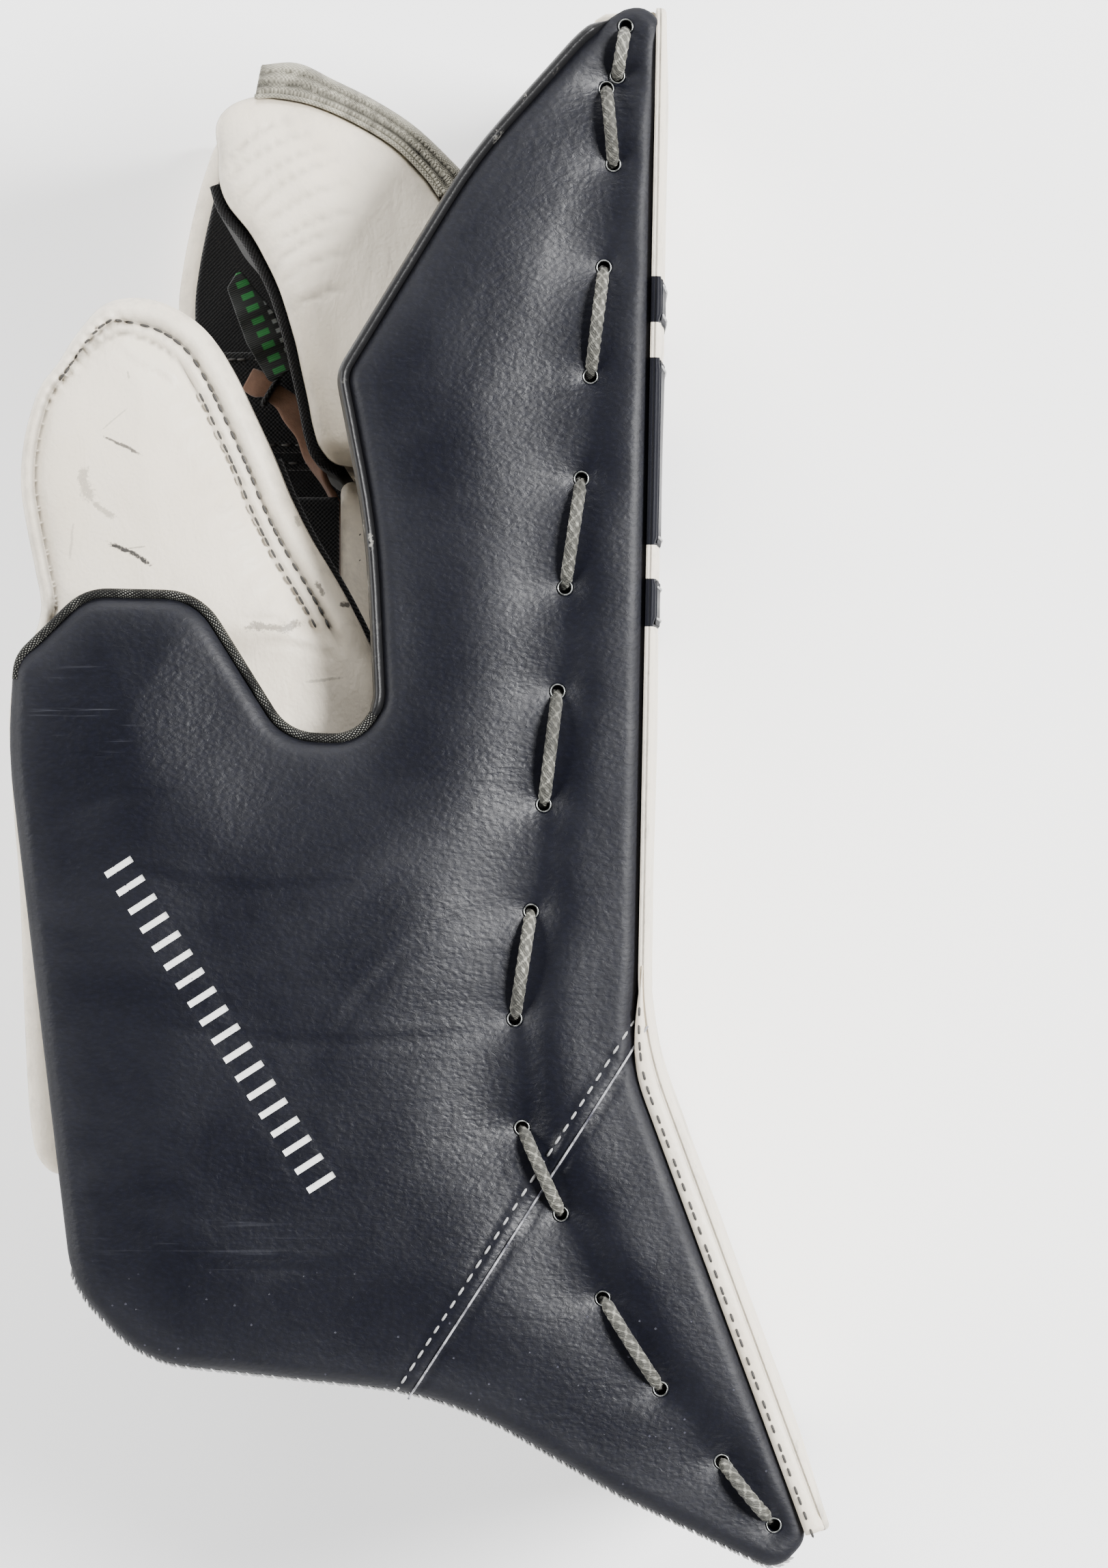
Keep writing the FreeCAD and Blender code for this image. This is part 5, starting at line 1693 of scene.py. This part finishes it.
WRINKLES = (
    (-49.5, 153, -30, 167, 2.4),
    (-49.0, 149, -26, 163, 2.6),
    (-46.5, 144, -22, 159.5, 2.8),
    (-43.5, 140, -19, 156, 3.2),
    (-41.0, 136.5, -17, 150, 2.8),
    (-38.5, 132, -15, 143, 2.4),
    (-37.5, 128.5, -19, 138, 2.0),
    (-35.8, 124.5, -17, 132.5, 1.8),
    (-33.0, 118, -17, 124, 1.2),
)


def wrist_rise(p, d):
    """Height of the wrist pad's end: a crown, highest towards the board, and long curved wrinkles that
    run in from the hand's side."""
    x, y = p[:, 0], p[:, 1]
    z = 2.4 * step_up(d / 26) - 1.2 * step_up((y - 118) / 60) - 1.0 * step_up((-x - 24) / 26)
    z += creases(x, y, WRINKLES, 0.85, 0.75)
    return z + 0.6 * bumps(x, y, 16, 5.2) * step_up(d / 12) + 0.14 * bumps(x, y, 4.5, 1.2) * step_up(d / 8)


def line_map(line):
    """Texture coordinates of a piece from a plan line: distance along it, and distance from it together
    with the height."""
    line = even_path(line, 0.5)

    def mapped(points):
        along = np.zeros(len(points))
        off = np.zeros(len(points))
        for first in range(0, len(points), AT_ONCE):
            p = points[first : first + AT_ONCE, None, :2]
            away = np.linalg.norm(p - line[None], axis=2)
            along[first : first + AT_ONCE] = away.argmin(1) * 0.5
            off[first : first + AT_ONCE] = away.min(1)
        return np.column_stack([along, off - points[:, 2]]) * MM

    return mapped


def make_wrist():
    """The wrist pad with its wrinkled leather, the woven tape along its outer edge, its lining, and the
    label and thong in the opening."""
    outline = np.vstack([WRIST_HIDDEN, WRIST_TOP, WRIST_LEFT])
    pad(
        "wrist_pad_cover",
        smooth_line(outline, True),
        low("wrist_pad"),
        high("wrist_pad"),
        7.5,
        1.7,
        white_leather(),
        "white_leather",
        ("wrist_pad",),
        above=wrist_rise,
        # The seam mark here is painted shade: it darkens the leather along the wrinkle grooves.
        marks_of=lambda p, d: {"seam": np.clip(-creases(p[:, 0], p[:, 1], WRINKLES, 0.7, 0.42), 0, 1)},
        fill=0.85,
    )
    inner, outer = smooth_line(TAPE_INNER), smooth_line(TAPE_OUTER)
    loop = np.vstack([outer, inner[::-1]])

    def across(p):
        """Share of the way across the tape, from its sewn edge."""
        a, b = from_line(p, inner), from_line(p, outer)
        return a / np.maximum(a + b, 1e-6)

    def band_grooves(p):
        """Darkening in the two grooves between the tape's three bands."""
        share = across(p)
        return np.clip(bell(share - 0.34, 0.09) + 0.8 * bell(share - 0.68, 0.06), 0, 1)

    def bands(p, d):
        """Three bands side by side: two grooves at a third and two thirds of the way across."""
        share = across(p)
        z = -1.5 * bell(share - 0.34, 0.06) - 1.2 * bell(share - 0.68, 0.05)
        return z + 0.7 * np.sin(np.pi * np.clip(share, 0, 1))

    pad(
        "wrist_tape",
        loop,
        low("wrist_pad_binding"),
        high("wrist_pad_binding") + 1.5,
        2.2,
        0.95,
        mesh_tape(),
        "mesh_binding",
        ("wrist_pad_binding",),
        above=bands,
        marks_of=lambda p, d: {"seam": band_grooves(p)},
        mapped=line_map(inner),
        fill=None,
    )
    edge = smooth_line(TAPE_INNER[2:])
    path = np.column_stack([edge, np.full(len(edge), high("wrist_pad") - 3.2)])
    strip("wrist_tape_edge", path, UP, oval(1.3, 1.5, 10), mesh_tape())
    wall = smooth_line(WRIST_LEFT[2:]) + np.array([-1.0, -1.2])
    middle = (low("wrist_liner") + high("wrist_liner")) / 2 - 1.5
    path = np.column_stack([wall, np.full(len(wall), middle)])
    tall = high("wrist_liner") - low("wrist_liner") - 3
    strip("wrist_lining", path, UP, block(3.2, tall, 1.4), knit_lining(), ("wrist_liner",))
    make_label()
    make_thong()


def make_label():
    """The woven label: a thin pad with its own map along and across, curled out of its plane."""
    loop = outline_of("woven_label")
    axis = unit(np.array([11.0, -26.0]))
    over = np.array([-axis[1], axis[0]])
    corner = np.array([-48.5, 130.5])

    def label_map(points):
        """Distances along and across the label from its corner."""
        off = points[:, :2] - corner
        return np.column_stack([off @ axis, off @ over + 1.5]) * MM

    def curl(points):
        """Lifts the label in a bow with a ripple along it."""
        bowed = points.copy()
        run = (points[:, :2] - corner) @ axis
        bowed[:, 2] += 1.6 * np.sin(run / 29 * np.pi) + 0.5 * np.sin(run * 0.7)
        return bowed

    pad("label", loop, low("woven_label"), high("woven_label"), 0.3, 1.3, label_finish(), "label_cloth",
        ("woven_label",), mapped=label_map, change=curl, fill=None)


def make_thong():
    """The suede thong, a flat band carried along its route and turned on edge on the way, and the elastic,
    an oval ring round it."""
    route = smooth_line([(-44.5, 103.5, 130), (-39.5, 100.8, 131), (-34.5, 97.2, 131), (-31.0, 92.0, 131),
                         (-28.2, 86.0, 130.5), (-25.8, 79, 130), (-22.6, 73, 129), (-20.6, 66, 128.5),
                         (-20.6, 48, 128)])
    turn = np.linspace(0, 1, len(route))
    angle = step_up((turn - 0.42) / 0.25) * math.radians(80)
    ahead = unit(np.gradient(route, axis=0))
    flat_side = unit(np.cross(ahead, UP))
    normal = np.cos(angle)[:, None] * np.array([0, 0, 1.0]) + np.sin(angle)[:, None] * flat_side
    wide = 1.0 - 0.25 * np.exp(-(((turn - 0.13) / 0.03) ** 2)) + 0.12 * np.sin(turn * 25)
    suede = napped("suede", "suede")
    strip("thong", route, normal, tape(6.2, 1.9), suede, ("suede_thong",), size=wide)
    t = np.linspace(0, 2 * np.pi, 60, endpoint=False)
    centre, ahead = route[14], unit(route[15] - route[13])
    side = unit(np.cross(ahead, UP))
    loop = centre + 3.4 * np.cos(t)[:, None] * side + 2.1 * np.sin(t)[:, None] * np.array([0, 0, 1.0])
    strip("thong_elastic", loop, ahead, oval(2.2, 1.5, 10), webbing(), ("thong_cord",),
          closed=True)


# ---------------------------------------------------------------- hand pocket, fingers and straps


def make_hand():
    """The hand's back pad, its spacer, palm, side walls and the knitted web at the fingers. The palm is a
    bowed sheet with folds, pressed in where the thumb's root folds against it."""
    for name, node, edge, material, slot_name, step in (
        ("hand_back_cover", "hand_back_pad", 3.5, white_leather(True), "white_leather", 1.6),
        ("hand_spacer_cover", "hand_spacer_foam", 2.5, foam("spacer_foam", (0.05, 0.05, 0.055)), "foam", 3.0),
        ("pocket_wall_pinky_cover", "pocket_wall_pinky", 1.1, white_leather(), "white_leather", 2.5),
        ("pocket_wall_thumb_cover", "pocket_wall_thumb", 1.1, knit_lining(), "black_lining", 2.5),
    ):
        pad(name, outline_of(node), low(node), high(node), edge, step, material, slot_name, (node,),
            above=lambda p, d: 0.25 * bumps(p[:, 0], p[:, 1], 11, 1.9) * step_up(d / 5), fill=0.7)
    lo, hi = (np.array(c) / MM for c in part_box("palm"))
    v, w = np.linspace(0, 1, 60), np.linspace(0, 1, 80)
    v, w = np.meshgrid(v, w, indexing="ij")
    y, z = lo[1] + (hi[1] - lo[1]) * v, lo[2] + (hi[2] - lo[2]) * w
    bow = 0.5 * np.sin(np.pi * w) * np.sin(np.pi * v)
    fold = 0.35 * bumps(y, z, 9, 0.8) + creases(
        y, z, ((10, 60, 66, 92, 8), (6, 84, 60, 128, -9), (24, 56, 40, 150, 5)), 1.4, 0.5)
    seat = 1.7 * bell(np.hypot((y - 58) / 16, (z - 136) / 17), 1.0)
    shape = (hi[0] + lo[0]) / 2 - bow + fold + seat
    outer = np.stack([shape - 1.4, y, z], -1)
    inner = np.stack([shape + 1.4, y, z], -1)
    points, faces = shell(outer, inner)
    leather = napped("palm_leather", "palm")
    made = piece("palm_leather_cover", points, faces, leather, uv=points[:, 1:] * MM)
    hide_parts("palm")
    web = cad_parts["finger_web"]
    web.data.materials.clear()
    web.data.materials.append(knit_by_place())


def finger_mesh(name, node, body, path, radius, material, folds):
    """A finger stall: a circle carried along the finger's line, swelling between the folds and closing
    in a quarter circle at each end. The folds are distances along it."""
    path = even_path(smooth_line(path, each=16), 0.8)
    s = run_length(path)
    total = s[-1]
    nose = radius * 0.98
    near_tip = np.sqrt(np.clip(1 - (1 - np.clip((total - s) / nose, 0, 1)) ** 2, 0.0004, 1))
    near_root = np.sqrt(np.clip(1 - (1 - np.clip(s / 4.0, 0, 1)) ** 2, 0.0004, 1)) * 0.25 + 0.75
    width = np.ones_like(s)
    for at in folds:
        width -= 0.085 * bell(s - at, 1.5)
        width += 0.02 * bell(s - at - 3.4, 1.6) + 0.02 * bell(s - at + 3.4, 1.6)
    size = width * near_tip * near_root
    a = np.linspace(0, 2 * np.pi, 40, endpoint=False)
    seam = 1 + 0.035 * (np.exp(-((np.sin(a) - 1) / 0.02) ** 2) + np.exp(-((np.sin(a) + 1) / 0.02) ** 2))
    profile = radius * seam[:, None] * np.stack([np.cos(a) * 0.985, np.sin(a)], 1)
    points, faces, uv = sweep(path, UP, profile, size=size)
    made = piece(name, points, faces, material, body, uv)
    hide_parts(node)
    keep_row = slice(8, int(len(path) * 0.86))
    for sign, word in ((1, "thumb"), (-1, "pinky")):
        up = np.array([0, 0, float(sign)])
        row = path + up * (radius * size * 1.035)[:, None]
        stitches(f"{name}_stitches_{word}", row[keep_row], up, 3.4, dark_thread(), body)


def heading(degrees):
    """The direction in the plan that points to the finger end, turned this far towards the palm."""
    return np.array([-math.sin(math.radians(degrees)), -math.cos(math.radians(degrees)), 0])


def make_fingers():
    """Four finger stalls of white leather and the thumb stall of palm leather."""
    for name, node, body, share in (
        ("index_stall", "finger_index", "index_finger", 0.97),
        ("middle_stall", "finger_middle", "middle_finger", 1.06),
        ("ring_stall", "finger_ring", "ring_finger", 1.0),
        ("little_stall", "finger_pinky", "little_finger", 0.84),
    ):
        z = (low(node) + high(node)) / 2
        radius = (high(node) - low(node)) / 2 - 0.2
        root = np.array([-41.0, -16.0, z])
        one, two = heading(15), heading(46)
        knuckle = root + one * 42 * share
        tip = knuckle + two * (28 * share + radius)
        line = [root - one * 9, root + one * 8, knuckle - one * 12]
        line += [knuckle + two * 4 - one, tip - two * 14, tip]
        folds = (24 * share, 47 * share, 61 * share)
        finger_mesh(name, node, body, line, radius, white_leather(), folds)
    node = "thumb_stall"
    z = (low(node) + high(node)) / 2
    root = np.array([-78.2, 58.0, z])
    line = [root + heading(8) * reach for reach in (-10, 6, 30, 57)]
    finger_mesh("thumb_stall_leather", node, "thumb", line, 10.8, napped("palm_leather", "palm"),
                (22, 40))


def make_straps():
    """The wrist strap: its base, the arm that opens, hook and pile patches, and the catch with its band."""
    web = webbing()

    def band(name, node, material, slot_name, body=SHELL):
        """A band carried along the longer of its node's two directions across its width, with a row of
        stitches along each edge."""
        lo, hi = (np.array(c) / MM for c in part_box(node))
        across = (lo[1] + hi[1]) / 2
        reach_x, reach_z = hi[0] - lo[0], hi[2] - lo[2]
        t = np.linspace(0, 1, 60)
        if reach_x > reach_z:
            thick = reach_z
            path = np.stack([lo[0] + reach_x * t, np.full(60, across), np.full(60, (lo[2] + hi[2]) / 2)], 1)
            normal = UP
        else:
            thick = reach_x
            path = np.stack([np.full(60, (lo[0] + hi[0]) / 2), np.full(60, across), lo[2] + reach_z * t], 1)
            normal = (1, 0, 0)
        strip(name, path, normal, tape(hi[1] - lo[1], thick), material, (node,), body)
        for sign in (-1, 1):
            row = path + np.array([0, sign * ((hi[1] - lo[1]) / 2 - 2.0), 0]) + np.array(normal) * (thick / 2)
            stitches(f"{name}_stitches_{'a' if sign < 0 else 'b'}", row, normal, 3.6, dark_thread(), body)

    band("strap_base_band", "strap_base", web, "black_webbing")
    band("strap_arm_band", "wrist_strap", web, "black_webbing", "strap_arm")
    band("strap_hook", "strap_hook_patch", napped("hook_pile", "lining"), "hook_pile", "strap_arm")
    band("strap_pile", "strap_pile_patch", napped("hook_pile", "lining"), "hook_pile")
    band("strap_catch_pad", "strap_catch", web, "black_webbing")
    band("strap_catch_strip", "strap_catch_band", web, "black_webbing")


# ---------------------------------------------------------------- stage


FLOOR_REACH, FLOOR_LEVEL = 2e4, -1.0
WALL_REACH, WALL_TOP, WALL_PANELS = 12000.0, 2200.0, 96
WORLD_LIGHT = 0.10
LENS, EYE = 131.9, (0.0339, -0.0003, 1.603)
# Each lamp's name, place, width in metres and power in watts.
LAMPS = (
    ("key", (0.98, 0.22, 1.40), 0.5, 70),
    ("left", (-1.5, 0.15, 0.85), 1.0, 28),
    ("foot", (0.10, -1.5, 0.85), 1.0, 11),
    ("head", (-0.20, 1.55, 0.95), 1.0, 28),
)


def stage_piece(name, points, faces):
    """A surface of the stage, in pale paper."""
    made = piece(name, points, faces, stage_floor(), None, outward=False)


def make_stage():
    """A pale floor with a low round wall far off, soft lights and the camera above the side panel."""
    signs = (-1, -1), (1, -1), (1, 1), (-1, 1)
    corners = [(x * FLOOR_REACH, y * FLOOR_REACH, FLOOR_LEVEL) for x, y in signs]
    stage_piece("floor", corners, [np.array([[0, 1, 2, 3]])])
    a = np.linspace(0, 2 * np.pi, WALL_PANELS + 1)
    foot = np.column_stack([np.cos(a) * WALL_REACH, np.sin(a) * WALL_REACH, np.full(len(a), FLOOR_LEVEL / 2)])
    head = foot * (1, 1, 0) + (0, 0, WALL_TOP)
    stage_piece("backdrop", np.vstack([foot, head]), [grid_faces(2, len(a))])
    for name, place, size, power in LAMPS:
        data = bpy.data.lights.new(name, "AREA")
        data.shape = "DISK"
        data.size = size
        data.energy = power
        lamp = bpy.data.objects.new(name, data)
        lamp.location = place
        aim = Vector((0.0, 0.0, 0.15)) - Vector(place)
        lamp.rotation_euler = aim.to_track_quat("-Z", "Y").to_euler()
        bpy.context.scene.collection.objects.link(lamp)
    world = bpy.data.worlds.new("studio")
    world.use_nodes = True
    light = world.node_tree.nodes["Background"]
    light.inputs["Color"].default_value = (1.0, 1.0, 1.0, 1.0)
    light.inputs["Strength"].default_value = WORLD_LIGHT
    bpy.context.scene.world = world
    data = bpy.data.cameras.new("camera")
    data.lens = LENS
    data.clip_end = 20
    eye = bpy.data.objects.new("camera", data)
    eye.location = EYE
    bpy.context.scene.collection.objects.link(eye)
    bpy.context.scene.camera = eye


# ---------------------------------------------------------------- the add-on


class BLOCKER_OT_side(bpy.types.Operator):
    """Side panel of padded leather with its seam, bars, bindings and stitches, and the white toe roll"""

    bl_idname = "blocker.side"
    bl_label = "Side Panel"

    def execute(self, context):
        make_side_cover()
        make_toe_roll()
        return {"FINISHED"}


class BLOCKER_OT_board(bpy.types.Operator):
    """Board with its face leather, stripes, back cover and piping"""

    bl_idname = "blocker.board"
    bl_label = "Board"

    def execute(self, context):
        make_board()
        return {"FINISHED"}


class BLOCKER_OT_lace(bpy.types.Operator):
    """Braided lace, its knots and the rings of its holes"""

    bl_idname = "blocker.lace"
    bl_label = "Lace"

    def execute(self, context):
        make_lace()
        return {"FINISHED"}


class BLOCKER_OT_thumb(bpy.types.Operator):
    """Thumb guard and thumb cuff under one leather cover"""

    bl_idname = "blocker.thumb"
    bl_label = "Thumb Side"

    def execute(self, context):
        make_thumb_cover()
        return {"FINISHED"}


class BLOCKER_OT_pinky(bpy.types.Operator):
    """Little finger's guard and cuff"""

    bl_idname = "blocker.pinky"
    bl_label = "Little Finger Side"

    def execute(self, context):
        make_pinky_side()
        return {"FINISHED"}


class BLOCKER_OT_wrist(bpy.types.Operator):
    """Wrist pad, woven tape, lining, label and thong"""

    bl_idname = "blocker.wrist"
    bl_label = "Wrist Pad"

    def execute(self, context):
        make_wrist()
        return {"FINISHED"}


class BLOCKER_OT_hand(bpy.types.Operator):
    """Hand pocket with its back pad, spacer, palm and walls"""

    bl_idname = "blocker.hand"
    bl_label = "Hand Pocket"

    def execute(self, context):
        make_hand()
        return {"FINISHED"}


class BLOCKER_OT_fingers(bpy.types.Operator):
    """Finger stalls and thumb stall"""

    bl_idname = "blocker.fingers"
    bl_label = "Fingers"

    def execute(self, context):
        make_fingers()
        return {"FINISHED"}


class BLOCKER_OT_straps(bpy.types.Operator):
    """Wrist strap, its patches and its catch"""

    bl_idname = "blocker.straps"
    bl_label = "Straps"

    def execute(self, context):
        make_straps()
        return {"FINISHED"}


class BLOCKER_OT_stage(bpy.types.Operator):
    """Floor, lights and camera"""

    bl_idname = "blocker.stage"
    bl_label = "Stage"

    def execute(self, context):
        make_stage()
        return {"FINISHED"}


class BLOCKER_PT_panel(bpy.types.Panel):
    """Lists the blocker's pieces, sizes and colours"""

    bl_idname = "BLOCKER_PT_panel"
    bl_label = "Goalie Blocker"
    bl_space_type = "VIEW_3D"
    bl_region_type = "UI"
    bl_category = "Blocker"

    def draw(self, context):
        for settings in (context.scene.blocker_sizes, context.scene.blocker_colours):
            column = self.layout.column(align=True)
            for name in settings.__annotations__:
                column.prop(settings, name)
        for maker in MAKERS:
            self.layout.operator(maker.bl_idname)


MAKERS = (
    BLOCKER_OT_stage,
    BLOCKER_OT_lace,
    BLOCKER_OT_side,
    BLOCKER_OT_board,
    BLOCKER_OT_thumb,
    BLOCKER_OT_pinky,
    BLOCKER_OT_wrist,
    BLOCKER_OT_hand,
    BLOCKER_OT_fingers,
    BLOCKER_OT_straps,
)
SETTINGS = (BlockerColours, BlockerSizes)


def register():
    for cls in (*SETTINGS, *MAKERS, BLOCKER_PT_panel):
        bpy.utils.register_class(cls)
    bpy.types.Scene.blocker_colours = PointerProperty(type=BlockerColours)
    bpy.types.Scene.blocker_sizes = PointerProperty(type=BlockerSizes)


def unregister():
    del bpy.types.Scene.blocker_sizes
    del bpy.types.Scene.blocker_colours
    for cls in reversed((*SETTINGS, *MAKERS, BLOCKER_PT_panel)):
        bpy.utils.unregister_class(cls)


def main():
    register()
    bpy.ops.blocker.stage()
    bpy.ops.blocker.lace()
    bpy.ops.blocker.side()
    bpy.ops.blocker.board()
    bpy.ops.blocker.thumb()
    bpy.ops.blocker.pinky()
    bpy.ops.blocker.wrist()
    bpy.ops.blocker.hand()
    bpy.ops.blocker.fingers()
    bpy.ops.blocker.straps()


if __name__ == "__main__":
    main()
